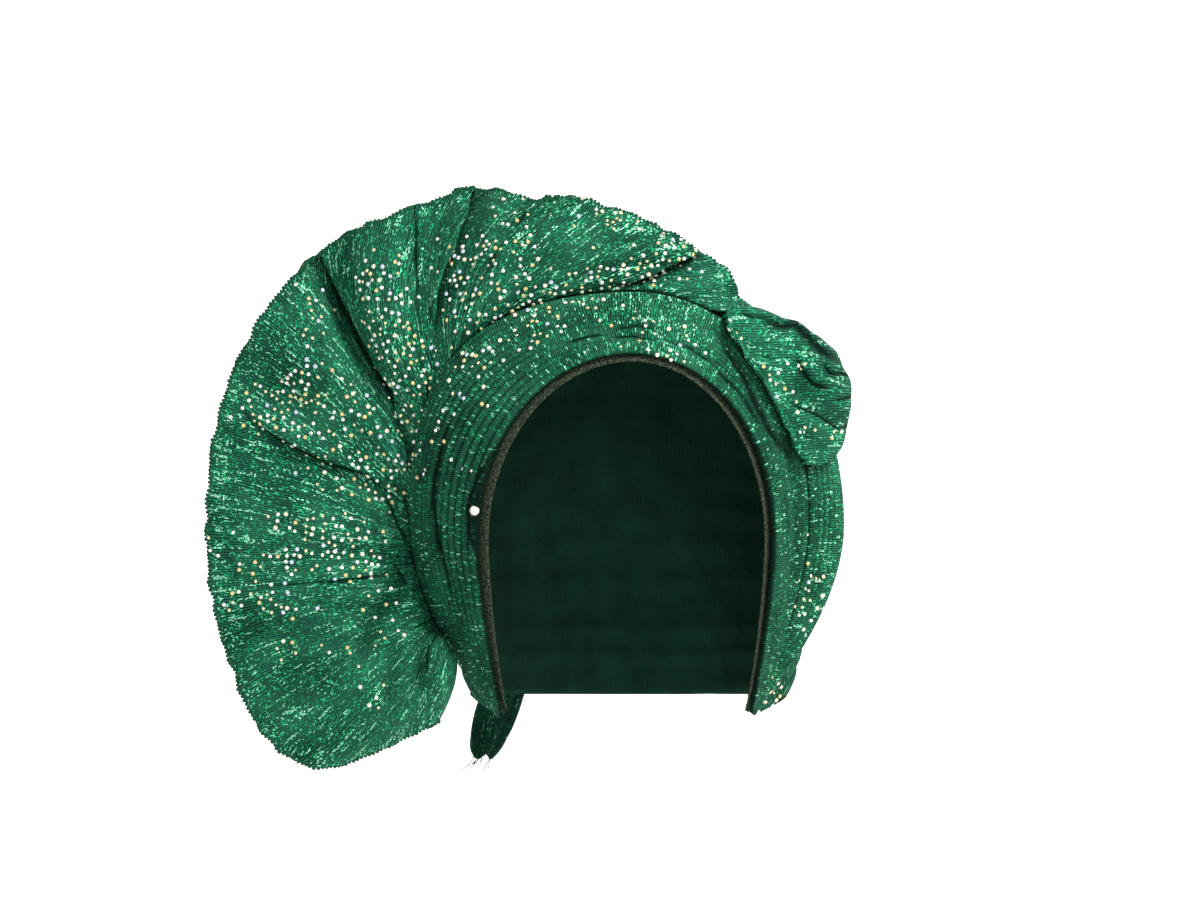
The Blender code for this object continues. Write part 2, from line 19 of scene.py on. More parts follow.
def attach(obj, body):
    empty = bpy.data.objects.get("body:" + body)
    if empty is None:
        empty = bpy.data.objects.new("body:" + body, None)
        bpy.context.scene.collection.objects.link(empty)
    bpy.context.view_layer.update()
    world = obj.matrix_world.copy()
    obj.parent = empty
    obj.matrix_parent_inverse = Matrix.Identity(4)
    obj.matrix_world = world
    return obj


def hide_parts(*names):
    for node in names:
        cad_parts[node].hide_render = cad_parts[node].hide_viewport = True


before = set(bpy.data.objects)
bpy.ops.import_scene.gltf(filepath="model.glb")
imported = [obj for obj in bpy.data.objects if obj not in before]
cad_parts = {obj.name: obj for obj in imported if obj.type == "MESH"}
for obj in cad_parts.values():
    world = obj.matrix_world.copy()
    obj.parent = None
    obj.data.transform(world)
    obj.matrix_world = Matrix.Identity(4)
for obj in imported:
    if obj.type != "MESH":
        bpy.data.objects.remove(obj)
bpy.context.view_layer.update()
print("nodes:", sorted(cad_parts))

# %% [markdown]
# ## Camera, floor and light
#
# The tie is shown worn, so it floats where a head would hold it. The camera stands straight in
# front with a long lens, which keeps the fan from looking larger than it is. Large soft lamps
# round the camera stand for a studio: metallic thread needs something bright to reflect.

# %% Camera
WIDTH_IN_VIEW = 0.528
CAMERA_DISTANCE = 2.2
VIEW_MIDDLE = Vector((-0.0136, 0, -0.077))

camera = bpy.data.objects.new("camera", bpy.data.cameras.new("camera"))
bpy.context.scene.collection.objects.link(camera)
camera.location = VIEW_MIDDLE - Vector((0, CAMERA_DISTANCE, 0))
camera.rotation_euler = (math.pi / 2, 0, 0)
camera.data.sensor_width = 36
camera.data.lens = 36 * CAMERA_DISTANCE / WIDTH_IN_VIEW
bpy.context.scene.camera = camera
print("lens:", round(camera.data.lens), "mm")


# %% Colours
def linear(code, alpha=1.0):
    """An sRGB hex colour as the linear values that a shader takes."""
    channels = [int(code[i : i + 2], 16) / 255 for i in (1, 3, 5)]
    return [c / 12.92 if c <= 0.04045 else ((c + 0.055) / 1.055) ** 2.4 for c in channels] + [alpha]


# %% Materials from nodes
def add(tree, kind, settings=None, **links):
    """Adds a node. settings are its own options and input values, links what its inputs come from."""
    node = tree.nodes.new(kind)
    for name, value in (settings or {}).items():
        if hasattr(node, name):
            setattr(node, name, value)
        else:
            node.inputs[int(name) if name.isdigit() else name].default_value = value
    for name, source in links.items():
        name = name.replace("_", " ")
        target = node.inputs[int(name[1:]) if name[0] == "i" and name[1:].isdigit() else name]
        tree.links.new(source, target)
    return node


def fill(tree, socket, source):
    """Gives a socket a fixed value or the result of another node."""
    if isinstance(source, bpy.types.NodeSocket):
        tree.links.new(source, socket)
    else:
        socket.default_value = source


def calc(tree, operation, *terms, clamp=False):
    """The result of a maths node. Its terms are numbers or results."""
    node = add(tree, "ShaderNodeMath", {"operation": operation, "use_clamp": clamp})
    for socket, term in zip(node.inputs, terms):
        fill(tree, socket, term)
    return node.outputs[0]


def ranged(tree, source, low, high, to_low=0.0, to_high=1.0, curve="LINEAR"):
    """A result moved from one range into another, which it doesn't leave."""
    settings = {"interpolation_type": curve, "1": low, "2": high, "3": to_low, "4": to_high}
    return add(tree, "ShaderNodeMapRange", settings, Value=source).outputs[0]


def noise(tree, place, scale, detail, **settings):
    """How strong a noise texture is at a place."""
    settings = {"Scale": scale, "Detail": detail, **settings}
    return add(tree, "ShaderNodeTexNoise", settings, Vector=place).outputs["Fac"]


def mixed(tree, share, first, second):
    """A colour between two, which are hex codes or results."""
    node = add(tree, "ShaderNodeMix", {"data_type": "RGBA"}, i0=share)
    for socket, colour in ((node.inputs[6], first), (node.inputs[7], second)):
        fill(tree, socket, linear(colour) if isinstance(colour, str) else colour)
    return node.outputs[2]


def raised(tree, height, strength, distance):
    """The bent surface direction that makes a height look raised by distance."""
    bump = add(tree, "ShaderNodeBump", {"Strength": strength, "Distance": distance}, Height=height)
    return bump.outputs["Normal"]


def weave_place(tree):
    """The weave's place, which cloth_from_grid stores in metres."""
    return add(tree, "ShaderNodeUVMap", {"uv_map": "weave"}).outputs["UV"]


def object_place(tree):
    """The place within the object, in metres."""
    return add(tree, "ShaderNodeTexCoord").outputs["Object"]


def new_material(name, **values):
    """A material with its shader's own values set, and its node tree and shader."""
    material = bpy.data.materials.new(name)
    material.use_nodes = True
    shader = material.node_tree.nodes["Principled BSDF"]
    for key, value in values.items():
        shader.inputs[key.replace("_", " ")].default_value = value
    return material, material.node_tree, shader


def wire(tree, shader, **results):
    """Joins results to the shader's inputs."""
    for key, result in results.items():
        tree.links.new(result, shader.inputs[key.replace("_", " ")])


# %% Floor and backdrop
FLOOR_DROP = 0.32
FLOOR_FRONT = -4.5
FLOOR_HALF_WIDTH = 4
# The wall is behind a camera that looks from the back.
WALL_AT = 3.6
WALL_TOP = 3.0
COVE = 0.8

profile = [(FLOOR_FRONT, 0.0), (WALL_AT - COVE, 0.0)]
for angle in np.linspace(0.2, math.pi / 2, 8):
    profile.append((WALL_AT - COVE + COVE * math.sin(angle), COVE - COVE * math.cos(angle)))
profile.append((WALL_AT, WALL_TOP))
floor_data = bmesh.new()
rows = [
    [floor_data.verts.new((x, y, z - FLOOR_DROP)) for x in (-FLOOR_HALF_WIDTH, FLOOR_HALF_WIDTH)]
    for y, z in profile
]
for near, far in zip(rows, rows[1:]):
    floor_data.faces.new((near[0], near[1], far[1], far[0]))
floor_mesh = bpy.data.meshes.new("floor")
floor_data.to_mesh(floor_mesh)
floor_mesh.shade_smooth()
floor = bpy.data.objects.new("floor", floor_mesh)
bpy.context.scene.collection.objects.link(floor)
paper, _, _ = new_material("studio_paper", Base_Color=linear("#F4F5F5"), Roughness=0.9)
floor_mesh.materials.append(paper)

# %% Lamps
LAMP_AIM = (0, 0, -0.08)
WORLD_STRENGTH = 0.30
LAMPS = (
    # name, place, aim, size in metres, power in watts
    ("key", (1.00, -1.25, 1.25), LAMP_AIM, 0.40, 46),
    ("front", (0.25, -2.3, 0.35), LAMP_AIM, 0.45, 18),
    ("fill", (-1.5, -1.2, 0.1), LAMP_AIM, 1.0, 2.5),
    ("top", (-0.1, 0.4, 1.5), LAMP_AIM, 0.8, 5),
    ("back", (0.9, 1.3, 0.5), LAMP_AIM, 0.9, 8),
    ("backdrop_left", (-1.3, WALL_AT - 1.1, 1.2), (-0.3, WALL_AT, -0.1), 1.2, 34),
    ("backdrop_right", (1.3, WALL_AT - 1.1, 1.2), (0.3, WALL_AT, -0.1), 1.2, 34),
)
for name, place, aim, size, power in LAMPS:
    lamp = bpy.data.objects.new(name, bpy.data.lights.new(name, "AREA"))
    lamp.data.size = size
    lamp.data.energy = power
    lamp.location = place
    lamp.rotation_euler = (Vector(aim) - Vector(place)).to_track_quat("-Z", "Y").to_euler()
    bpy.context.scene.collection.objects.link(lamp)

world = bpy.data.worlds.new("studio")
world.use_nodes = True
world.node_tree.nodes["Background"].inputs["Color"].default_value = linear("#F6F8F8")
world.node_tree.nodes["Background"].inputs["Strength"].default_value = WORLD_STRENGTH
bpy.context.scene.world = world
# Colours come out as the hex codes say, with no film curve over them.
bpy.context.scene.view_settings.view_transform = "Standard"

# %% [markdown]
# ## The head form
#
# Every layer lies on a covered head, which isn't built. It is a stack of arches: each runs over
# the head from one jaw to the other, and the first goes round the face. A place on it is a
# station, from the face edge to the nape, and a turn, from the left jaw to the right one.

# %% Sizes of the covered head
HEAD_WIDTH = 0.184
HEAD_DEPTH = 0.192
HEAD_HEIGHT = 0.190
HIP_TURN = 0.70
FOOT_TAPER = 0.28
RIGHT_SHOULDER = 0.3
FACE_MIDDLE = 0.568

ARCH_COLUMN_NAMES = (
    "station", "top_back", "top_drop", "hip_back", "hip_drop", "foot_back", "foot_drop",
    "left", "right", "left_foot", "right_foot", "shoulder",
)
ARCHES = (
    # face edge
    (0.00, -0.458, 0.215, -0.300, 0.610, -0.135, 0.995, 0.655, 0.600, 0.570, 0.520, 0.00),
    # middle of the brow band
    (0.10, -0.410, 0.160, -0.240, 0.590, -0.090, 1.000, 0.830, 0.660, 0.580, 0.530, 0.08),
    # outer edge of the brow band
    (0.20, -0.352, 0.105, -0.172, 0.580, -0.045, 1.005, 0.945, 0.715, 0.590, 0.540, 0.17),
    # hairline
    (0.32, -0.240, 0.042, -0.105, 0.570, -0.010, 1.005, 1.000, 0.860, 0.600, 0.550, 0.20),
    # crown
    (0.45, -0.030, 0.000, -0.030, 0.570, 0.010, 1.005, 1.000, 0.970, 0.610, 0.560, 0.18),
    # behind the crown
    (0.58, 0.250, 0.075, 0.050, 0.580, 0.030, 1.005, 1.000, 0.985, 0.620, 0.570, 0.12),
    # back of the head
    (0.71, 0.460, 0.305, 0.135, 0.610, 0.050, 1.005, 0.980, 0.970, 0.630, 0.580, 0.06),
    # top of the neck
    (0.84, 0.530, 0.620, 0.190, 0.705, 0.075, 1.005, 0.910, 0.900, 0.640, 0.600, 0.00),
    # nape rim
    (1.00, 0.440, 0.990, 0.210, 0.980, 0.110, 1.010, 0.755, 0.745, 0.650, 0.620, 0.00),
)


# %% Places on the head
def curve_shares(q):
    """The shares of start, leaving slope, end and arriving slope in a smooth curve, at q from 0 to 1."""
    return 2 * q**3 - 3 * q**2 + 1, q**3 - 2 * q**2 + q, 3 * q**2 - 2 * q**3, q**3 - q**2


def smooth_columns(names, table_rows, at):
    """Each named column of a table, on a smooth curve through its rows, at the given stations."""
    table = np.array(table_rows, float)
    station = table[:, 0]
    values = table[:, 1:]
    slopes = np.gradient(values, station, axis=0)
    at = np.clip(np.asarray(at, float), station[0], station[-1])
    row = np.clip(np.searchsorted(station, at, side="right") - 1, 0, len(station) - 2)
    step = station[row + 1] - station[row]
    start, leave, end, arrive = curve_shares(((at - station[row]) / step)[..., None])
    step = step[..., None]
    found = start * values[row] + leave * step * slopes[row]
    found = found + end * values[row + 1] + arrive * step * slopes[row + 1]
    return {name: found[..., i] for i, name in enumerate(names[1:])}


def head_form(station, turn):
    """Points of the covered head."""
    station, turn = np.broadcast_arrays(np.asarray(station, float), np.asarray(turn, float))
    row = smooth_columns(ARCH_COLUMN_NAMES, ARCHES, station)
    half = HEAD_WIDTH / 2
    wide = np.where(turn < 0, row["left"], row["right"]) * half
    foot_wide = np.where(turn < 0, row["left_foot"], row["right_foot"]) * half
    top = np.stack([row["top_back"] * HEAD_DEPTH, -row["top_drop"] * HEAD_HEIGHT], -1)
    hip = np.stack([row["hip_back"] * HEAD_DEPTH, -row["hip_drop"] * HEAD_HEIGHT], -1)
    foot = np.stack([row["foot_back"] * HEAD_DEPTH, -row["foot_drop"] * HEAD_HEIGHT], -1)
    share = np.abs(turn)
    swing = np.clip(share / HIP_TURN, 0, 1) * math.pi / 2
    over = hip + (top - hip) * np.cos(swing)[..., None]
    shoulder = row["shoulder"] * np.where(turn < 0, 1, RIGHT_SHOULDER)
    out = wide * np.sin(swing + shoulder * np.sin(2 * swing))
    q = np.clip((share - HIP_TURN) / (1 - HIP_TURN), 0, 1)[..., None]
    start, leave, end, arrive = curve_shares(q)
    slope = (hip - top) * (math.pi / 2) * (1 - HIP_TURN) / HIP_TURN
    under = start * hip + leave * slope + end * foot + arrive * (foot - hip)
    below = share > HIP_TURN
    along = np.where(below[..., None], under, over)
    out = np.where(below, wide + (foot_wide - wide) * q[..., 0] ** 2, out)
    return np.stack([out * np.sign(turn), along[..., 0], along[..., 1]], -1)


def head_normal(station, turn):
    """Outward direction of the covered head."""
    small = 1e-4
    before, behind = np.clip(station - small, 0, 1), np.clip(station + small, 0, 1)
    left, right = np.clip(turn - small, -1, 1), np.clip(turn + small, -1, 1)
    across = head_form(behind, turn) - head_form(before, turn)
    along = head_form(station, right) - head_form(station, left)
    normal = np.cross(along, across)
    return normal / np.maximum(np.linalg.norm(normal, axis=-1, keepdims=True), 1e-12)


def on_head(station, turn, lift):
    """Points that stand off the covered head by lift."""
    station, turn, lift = np.broadcast_arrays(
        np.asarray(station, float), np.asarray(turn, float), np.asarray(lift, float)
    )
    return head_form(station, turn) + head_normal(station, turn) * lift[..., None]


def foot_fade(turn):
    """1 over the head, falling to FOOT_TAPER where the folds are drawn together at the jaw."""
    q = np.clip((np.abs(turn) - HIP_TURN) / (1 - HIP_TURN), 0, 1)
    return 1 - (1 - FOOT_TAPER) * q * q * (3 - 2 * q)


# %% [markdown]
# ## Cloth from a grid
#
# Each cloth is first a grid of points along its middle. Its UV map holds real metres: U runs
# across the woven ribs and V along them, so that one weave fits every piece. Solidify gives the
# wall, and a search tree of the grid keeps the next layer clear of it.

# %% Grids and walls
def grid_lengths(points, axis):
    """How far each point is along its row or column, in metres."""
    steps = np.linalg.norm(np.diff(points, axis=axis), axis=-1)
    start = np.zeros_like(np.take(steps, [0], axis=axis))
    return np.cumsum(np.concatenate([start, steps], axis=axis), axis=axis)


def grid_quads(points):
    """The four corners of each face between a grid of points."""
    rows, columns = points.shape[:2]
    index = np.arange(rows * columns).reshape(rows, columns)
    return np.stack([index[:-1, :-1], index[:-1, 1:], index[1:, 1:], index[1:, :-1]], -1).reshape(-1, 4)


def cloth_from_grid(name, points, u, v, wall, material, inside=None, painted_light=1.0):
    """A cloth through a grid of points, with its UV map in metres, its wall and a finish for its inside.

    painted_light is 0 at the bottom of a fold, where the finish paints the deepest shade, 1 on the
    open cloth, and above 1 on raised folds, where the finish paints more glints. Points that
    coincide become one.
    """
    quads = grid_quads(points)
    mesh = bpy.data.meshes.new(name)
    mesh.from_pydata(points.reshape(-1, 3).tolist(), [], quads.tolist())
    layer = mesh.uv_layers.new(name="weave")
    flat = np.stack(np.broadcast_arrays(u, v), -1).reshape(-1, 2)[quads.reshape(-1)]
    layer.data.foreach_set("uv", flat.astype(np.float32).reshape(-1))
    stored = mesh.attributes.new("painted_light", "FLOAT", "POINT")
    painted_lights = np.broadcast_to(painted_light, points.shape[:2]).astype(np.float32)
    stored.data.foreach_set("value", painted_lights.reshape(-1))
    closed = bmesh.new()
    closed.from_mesh(mesh)
    bmesh.ops.remove_doubles(closed, verts=closed.verts, dist=1e-6)
    closed.to_mesh(mesh)
    closed.free()
    mesh.shade_smooth()
    mesh.materials.append(material)
    cloth = bpy.data.objects.new(name, mesh)
    bpy.context.scene.collection.objects.link(cloth)
    if wall:
        solidify = cloth.modifiers.new("wall", "SOLIDIFY")
        solidify.thickness = wall
        solidify.offset = 0
        if inside:
            mesh.materials.append(inside)
            solidify.material_offset = 1
    return cloth


def tree_of(points):
    """A search tree of the faces between a grid of points, which face out."""
    return BVHTree.FromPolygons([Vector(p) for p in points.reshape(-1, 3)], grid_quads(points).tolist())


# How many clearances away a surface still counts as right below a point.
CLEAR_REACH = 6


def lifted_off(points, trees, clearance):
    """Points moved out until they stand clear of the surfaces right below them."""
    flat = points.reshape(-1, 3).copy()
    for tree in trees * 2:
        for i, p in enumerate(flat):
            place, normal, _, near = tree.find_nearest(Vector(p))
            if near > CLEAR_REACH * clearance:
                continue
            offset = Vector(p) - place
            height = offset.dot(normal)
            beside = (offset - normal * height).length
            if height < clearance and beside < clearance:
                flat[i] = np.array(Vector(p) + normal * (clearance - height))
    return flat.reshape(points.shape)


def wavy(at, count, seed):
    """Uneven waves from -1 to 1, about count of them over a run of 1."""
    draw = np.random.default_rng(seed)
    total = 0
    for share in (0.62, 1.0, 1.48):
        total = total + np.sin(2 * math.pi * (count * share * at + draw.random())) / 3
    return total


# %% [markdown]
# ## Sharp folds
#
# Stiff cloth breaks into short sharp folds where hands push it about, and no even rule gives
# those. Each is a line through a few places, read from the front in millimetres right and up of the
# origin. The cloth on the left of the line, seen along it, stands forward over the cloth on its
# right, and painted shade darkens the hollow under its lip. Soft strokes are puffs, and dents, with
# painted shade, where the depth is negative. One table holds the sharp folds of four cloths,
# another the soft strokes of two.

# %% Places from the front
def from_front(points):
    """Right and up of points in millimetres, as the camera sees them against the brow's plane."""
    middle = np.array([VIEW_MIDDLE.x, VIEW_MIDDLE.z])
    nearer = CAMERA_DISTANCE / (CAMERA_DISTANCE + points[..., 1:2])
    return (middle + (points[..., [0, 2]] - middle) * nearer) * 1000


def off_line(seen, places):
    """How far points are off a line through places, left of it positive, and how far along it."""
    places = np.array(places, float)
    steps = np.diff(places, axis=0)
    lengths = np.linalg.norm(steps, axis=1)
    near = np.full(seen.shape[:-1], np.inf)
    off, along = np.zeros_like(near), np.zeros_like(near)
    for i, (start, step, length) in enumerate(zip(places, steps, lengths)):
        run = step / length
        offset = seen - start
        at = np.clip(offset @ run, 0, length)
        gap = np.linalg.norm(offset - at[..., None] * run, axis=-1)
        left = offset[..., 1] * run[0] - offset[..., 0] * run[1]
        nearer = gap < near
        near = np.where(nearer, gap, near)
        off = np.where(nearer, np.sign(left) * gap, off)
        along = np.where(nearer, lengths[:i].sum() + at, along)
    return off, along / lengths.sum()


# The share of a fold's length over which each end fades, and the darkest painted shade in a soft dent.
FOLD_ENDS = 0.2
DENT_SHADE = 0.48


def sharp_folds(cloth, points):
    """How far folds move a cloth forward, in metres, and how deep in their hollows each point is, for painted
    shade.
    """
    seen = from_front(points)
    forward = np.zeros(seen.shape[:-1])
    hollow = np.zeros_like(forward)
    for depth, width, dark, places in SHARP_FOLDS[cloth]:
        off, along = off_line(seen, places)
        part = np.clip(along / FOLD_ENDS, 0, 1) * np.clip((1 - along) / FOLD_ENDS, 0, 1)
        q = off / width
        forward += depth * np.tanh(5 * q) * np.exp(-np.abs(q)) * part
        under = np.exp(-(((off + 0.6 * dark) / dark) ** 2)) * np.sqrt(part)
        forward -= 0.6 * depth * under
        hollow = np.maximum(hollow, under)
    for depth, width, places in SOFT_STROKES.get(cloth, ()):
        near = np.exp(-((off_line(seen, places)[0] / width) ** 2))
        forward += depth * near
        hollow = np.maximum(hollow, np.minimum(-0.12 * depth, DENT_SHADE) * near)
    return forward / 1000, hollow


# %% Table of sharp folds
# Each row: depth, width and hollow in millimetres, then the places. The hollow is how wide the
# painted shade under the lip is.
SHARP_FOLDS = {
    "fan": (
        # where the gathers are pushed together beside the band
        (1.8, 3.0, 0.9, ((-99, -71), (-97.2, -77.4), (-97.7, -86))),
        (1.0, 3.0, 0.7, ((-89, -46), (-88.9, -54), (-91, -61))),
        (2.0, 3.0, 1.0, ((-107, -97), (-103.4, -106.3), (-100.8, -112), (-97.5, -118))),
        (2.0, 3.0, 0.9, ((-99.5, -93), (-97.7, -104.3), (-95.7, -112), (-94, -120))),
        (2.0, 3.0, 1.0, ((-104, -126), (-100.3, -132.4), (-97.5, -137))),
        (1.5, 3.0, 0.8, ((-106, -127.3), (-94, -126.2))),
        (
            3.0, 4.0, 1.3,
            ((-98, -118), (-93.8, -128), (-90.6, -133.7), (-87.4, -138.8), (-82.9, -143.3), (-77, -149)),
        ),
        # rolls of the lobe by the jaw
        (2.2, 4.0, 0.9, ((-77, -149), (-88, -151.5), (-96, -157))),
        (1.6, 4.0, 0.8, ((-84, -158), (-88, -164), (-89, -174))),
        # long crease of the side
        (1.0, 3.0, 0.8, ((-172, -59), (-157, -70), (-146, -76), (-133, -82), (-117, -87), (-103, -97))),
        # last gore
        (2.5, 5.0, 1.3, ((-20, -16), (-5.7, -13.6), (4.4, -11.9), (20, -11))),
        (1.5, 3.0, 0.9, ((17, -10.5), (24.6, -20.2), (27, -26))),
        (1.2, 3.0, 0.8, ((-47, -38), (-36, -30), (-26, -25))),
        # upper left
        (0.8, 3.0, 0.7, ((-160, -136), (-135, -134.5), (-108, -132))),
    ),
    "band": (
        # beside the fan
        (
            0.6, 2.0, 1.0,
            ((-78, -144), (-84.9, -118.4), (-87.1, -103), (-87.4, -98), (-86.7, -90), (-84, -78), (-79, -62)),
        ),
        # before the hem, where the pin is
        (0.6, 2.5, 1.2, ((-66, -132), (-71.5, -112), (-72.6, -103), (-71, -96), (-66, -86), (-59, -74))),
        # mostly a wide painted shade over the pleats
        (0.2, 3.0, 3.4, ((-63, -138), (-69.5, -112), (-70, -102), (-67, -92), (-62, -82))),
        # slits over the brow
        (0.5, 1.6, 0.7, ((-8, -24), (2, -22), (12, -23.5))),
        (0.5, 1.6, 0.7, ((-9, -27.5), (0, -26.6), (12, -28.5))),
        (0.5, 1.6, 0.6, ((14, -28), (26, -32), (36, -39))),
        (0.5, 1.6, 0.6, ((-30, -30), (-18, -26.5), (-8, -26))),
        (0.6, 2.0, 0.8, ((30, -44), (42, -55), (52, -70), (58, -84))),
        (0.5, 2.0, 0.7, ((36, -40), (48, -52), (58, -68))),
        # below the rosette's hem, mostly the hem's painted shadow
        (0.5, 3.0, 2.2, ((70, -84), (60, -70), (53.5, -58), (48.5, -46), (40, -33), (36, -24))),
    ),
    "wrap": (
        # below the rosette's hem, mostly the hem's painted shadow
        (0.5, 3.0, 2.0, ((66, -86), (74, -83.5), (82, -81.5), (92, -80.5), (98, -79))),
    ),
    "rosette": (
        # under the roll along the top and right
        (
            3.6, 6.0, 2.6,
            ((56, -18), (66, -21.1), (72.6, -20.7), (75.2, -23.1), (80.3, -28.1), (85.2, -33), (93, -38)),
        ),
        # slit at its left
        (1.6, 3.0, 1.1, ((48, -16.4), (52.8, -18), (61, -18))),
        # dark pocket
        (3.0, 4.5, 1.9, ((73, -36), (77.3, -42.5), (80.3, -46), (88, -50))),
        # notch on the right
        (3.0, 4.0, 1.6, ((84.5, -37.5), (87.7, -42), (92.4, -42.7), (101, -43))),
        # across the lower half
        (2.6, 5.0, 1.1, ((69, -55.5), (75.2, -58), (80.3, -60), (84.2, -62), (89.2, -65.5), (95, -70))),
        # small ones
        (0.8, 2.5, 0.7, ((57, -35.2), (64, -36.8))),
        (1.6, 3.0, 1.0, ((89, -54.5), (101, -51.8))),
        (1.2, 3.0, 1.0, ((91, -66.5), (101, -63))),
    ),
}

# Each row: how far it stands forward and how wide it is in millimetres, then the places.
SOFT_STROKES = {
    "fan": (
        # the puff at the jaw and the dents beside it
        (7.0, 7.0, ((-97, -139), (-88, -145))),
        (-5.0, 5.5, ((-103, -136), (-112, -148), (-117, -162))),
        (-4.5, 3.6, ((-86, -154), (-93, -161), (-94, -180))),
        (5.0, 4.5, ((-84, -160), (-84, -186))),
        (-3.5, 4.0, ((-103, -165), (-107, -186))),
        # panels of the top
        (-3.0, 7.0, ((-66, 34), (-70, 12), (-76, -8))),
        (2.5, 7.0, ((-52, 25), (-58, 5), (-66, -18))),
        (-2.5, 5.0, ((-34, -18), (-10, -5), (22, 4))),
        (2.5, 5.0, ((-28, 8), (0, 10), (26, 12))),
        # panels of the side
        (2.5, 10.0, ((-165, -95), (-125, -103))),
        (-2.0, 7.0, ((-178, -122), (-140, -120), (-112, -118))),
        (2.0, 9.0, ((-150, -30), (-125, -45))),
    ),
    "rosette": (
        (-4.4, 6.2, ((73, -50), (90, -62))),
        (-3.5, 5.0, ((87, -44.4), (100, -45.7))),
        (-3.6, 5.0, ((64, -64.5), (83, -74.4))),
        (3.2, 7.4, ((62, -40), (84, -39))),
        (2.8, 6.2, ((75, -63.6), (88, -62))),
        (-2.4, 3.4, ((50, -31.5), (61, -31.5))),
    ),
}

# %% [markdown]
# ## The woven cloth
#
# The cloth is a taffeta-like weave with raised ribs and lurex, a flat metallic thread. The ground
# is a deep matt green. Each rib carries short bright dashes where the lurex comes to the front,
# and they come in patches; their bright colours are painted glints. One tree makes it: a sine
# across the ribs, and cells stretched along them. It also paints shade in the grooves and in the
# folds' hollows, and a sheen on the ribs. The real ribs are 0.6 mm apart and would vanish at this
# size, so they are drawn coarser.

# %% Ribbed lurex
DASH_LENGTH = 0.0011
RIB_DRIFT = 1.5
RIB_HEIGHT = 0.0003
# Bright lurex colours: the thread's own green, lit up here as painted glints.
GREEN_LUREX_GLINT = "#1CDC8E"
PALE_LUREX_GLINT = "#BFFFE0"
DEEP_SHADE = "#01100A"


def ribbed_lurex(name, ground, haze, pitch, rim=0.0, glitter=0.0):
    """Woven ribs between two greens, with lurex dashes lit as painted glints, and painted shade. Within rim
    of V = 0 it glitters more.
    """
    material, tree, shader = new_material(
        name, Sheen_Weight=0.03, Sheen_Roughness=0.4, Sheen_Tint=linear("#6FC8A0"), Specular_IOR_Level=0.06
    )
    uv = weave_place(tree)
    parts = add(tree, "ShaderNodeSeparateXYZ", Vector=uv)
    across, along = parts.outputs["X"], parts.outputs["Y"]
    painted_light = add(tree, "ShaderNodeAttribute", {"attribute_name": "painted_light"}).outputs["Fac"]

    # The ribs wander a little along their length.
    drift = calc(tree, "MULTIPLY", noise(tree, uv, 40.0, 1.0), RIB_DRIFT * pitch)
    steady = calc(tree, "ADD", across, drift)
    rib = calc(tree, "SINE", calc(tree, "MULTIPLY", steady, 2 * math.pi / pitch))

    # Lurex dashes: two rows to a rib, each with random numbers and thin rounded ends.
    cells = add(
        tree, "ShaderNodeCombineXYZ",
        X=calc(tree, "DIVIDE", steady, pitch * 0.5), Y=calc(tree, "DIVIDE", along, DASH_LENGTH),
    )
    dash = add(
        tree, "ShaderNodeTexVoronoi", {"voronoi_dimensions": "2D", "Scale": 1.0, "Randomness": 0.6},
        Vector=cells.outputs[0],
    )
    draw = add(tree, "ShaderNodeSeparateColor", Color=dash.outputs["Color"]).outputs
    core = ranged(tree, dash.outputs["Distance"], 0.56, 0.26)

    # A dash shows more often in patches, in long streaks where a rib is pulled straight and near the
    # rim, and as a painted glint where painted_light is above 1, on raised folds.
    stretch = (1 / (1.7 * pitch), 75.0, 1.0)
    stretched = add(tree, "ShaderNodeVectorMath", {"operation": "MULTIPLY", "1": stretch}, i0=uv)
    streak = noise(tree, stretched.outputs[0], 1.0, 1.0, noise_dimensions="2D")
    lifts = (
        ranged(tree, noise(tree, uv, 90.0, 5.0, Roughness=0.7), 0.32, 0.70, glitter - 0.17, glitter + 0.11),
        ranged(tree, streak, 0.58, 0.72, 0.0, 0.46),
        ranged(tree, along, -1.6 * rim, 0.0, 0.0, 0.12) if rim else 0.0,
        ranged(tree, painted_light, 1.0, 1.25, 0.0, 0.27),
    )
    chance = draw[0]
    for lift in lifts:
        chance = calc(tree, "ADD", chance, lift)
    green_lurex_glint = calc(tree, "MULTIPLY", ranged(tree, chance, 0.64, 0.92), core)
    pale_lurex_glint = calc(tree, "MULTIPLY", ranged(tree, chance, 0.88, 1.02), core)

    # Ground colour: painted shade deep in the grooves and a painted sheen on the ribs, with soft
    # clouds and uneven threads.
    cloud = ranged(tree, noise(tree, uv, 32.0, 4.0), 0.35, 0.65, -0.22, 0.26)
    blend = calc(tree, "ADD", cloud, ranged(tree, rib, -0.7, 0.6, 0.0, 0.66))
    blend = calc(tree, "MULTIPLY_ADD", draw[1], 0.25, blend, clamp=True)
    colour = mixed(tree, blend, ground, haze)
    colour = mixed(tree, green_lurex_glint, colour, GREEN_LUREX_GLINT)
    colour = mixed(tree, pale_lurex_glint, colour, PALE_LUREX_GLINT)
    # Painted shade: threads at the bottom of a fold, where painted_light is low, go towards DEEP_SHADE.
    shade = ranged(tree, painted_light, 0.0, 1.0, 0.97, 0.0, "SMOOTHSTEP")

    # Relief: round ribs, and each dash at a height of its own.
    height = calc(tree, "MULTIPLY_ADD", rib, 0.6, draw[1])
    wire(
        tree, shader, Base_Color=mixed(tree, shade, colour, DEEP_SHADE),
        Metallic=ranged(tree, green_lurex_glint, 0.0, 1.0, 0.0, 0.35),
        Roughness=ranged(tree, green_lurex_glint, 0.0, 1.0, 0.75, 0.35),
        Normal=raised(tree, height, 0.8, RIB_HEIGHT),
    )
    return material


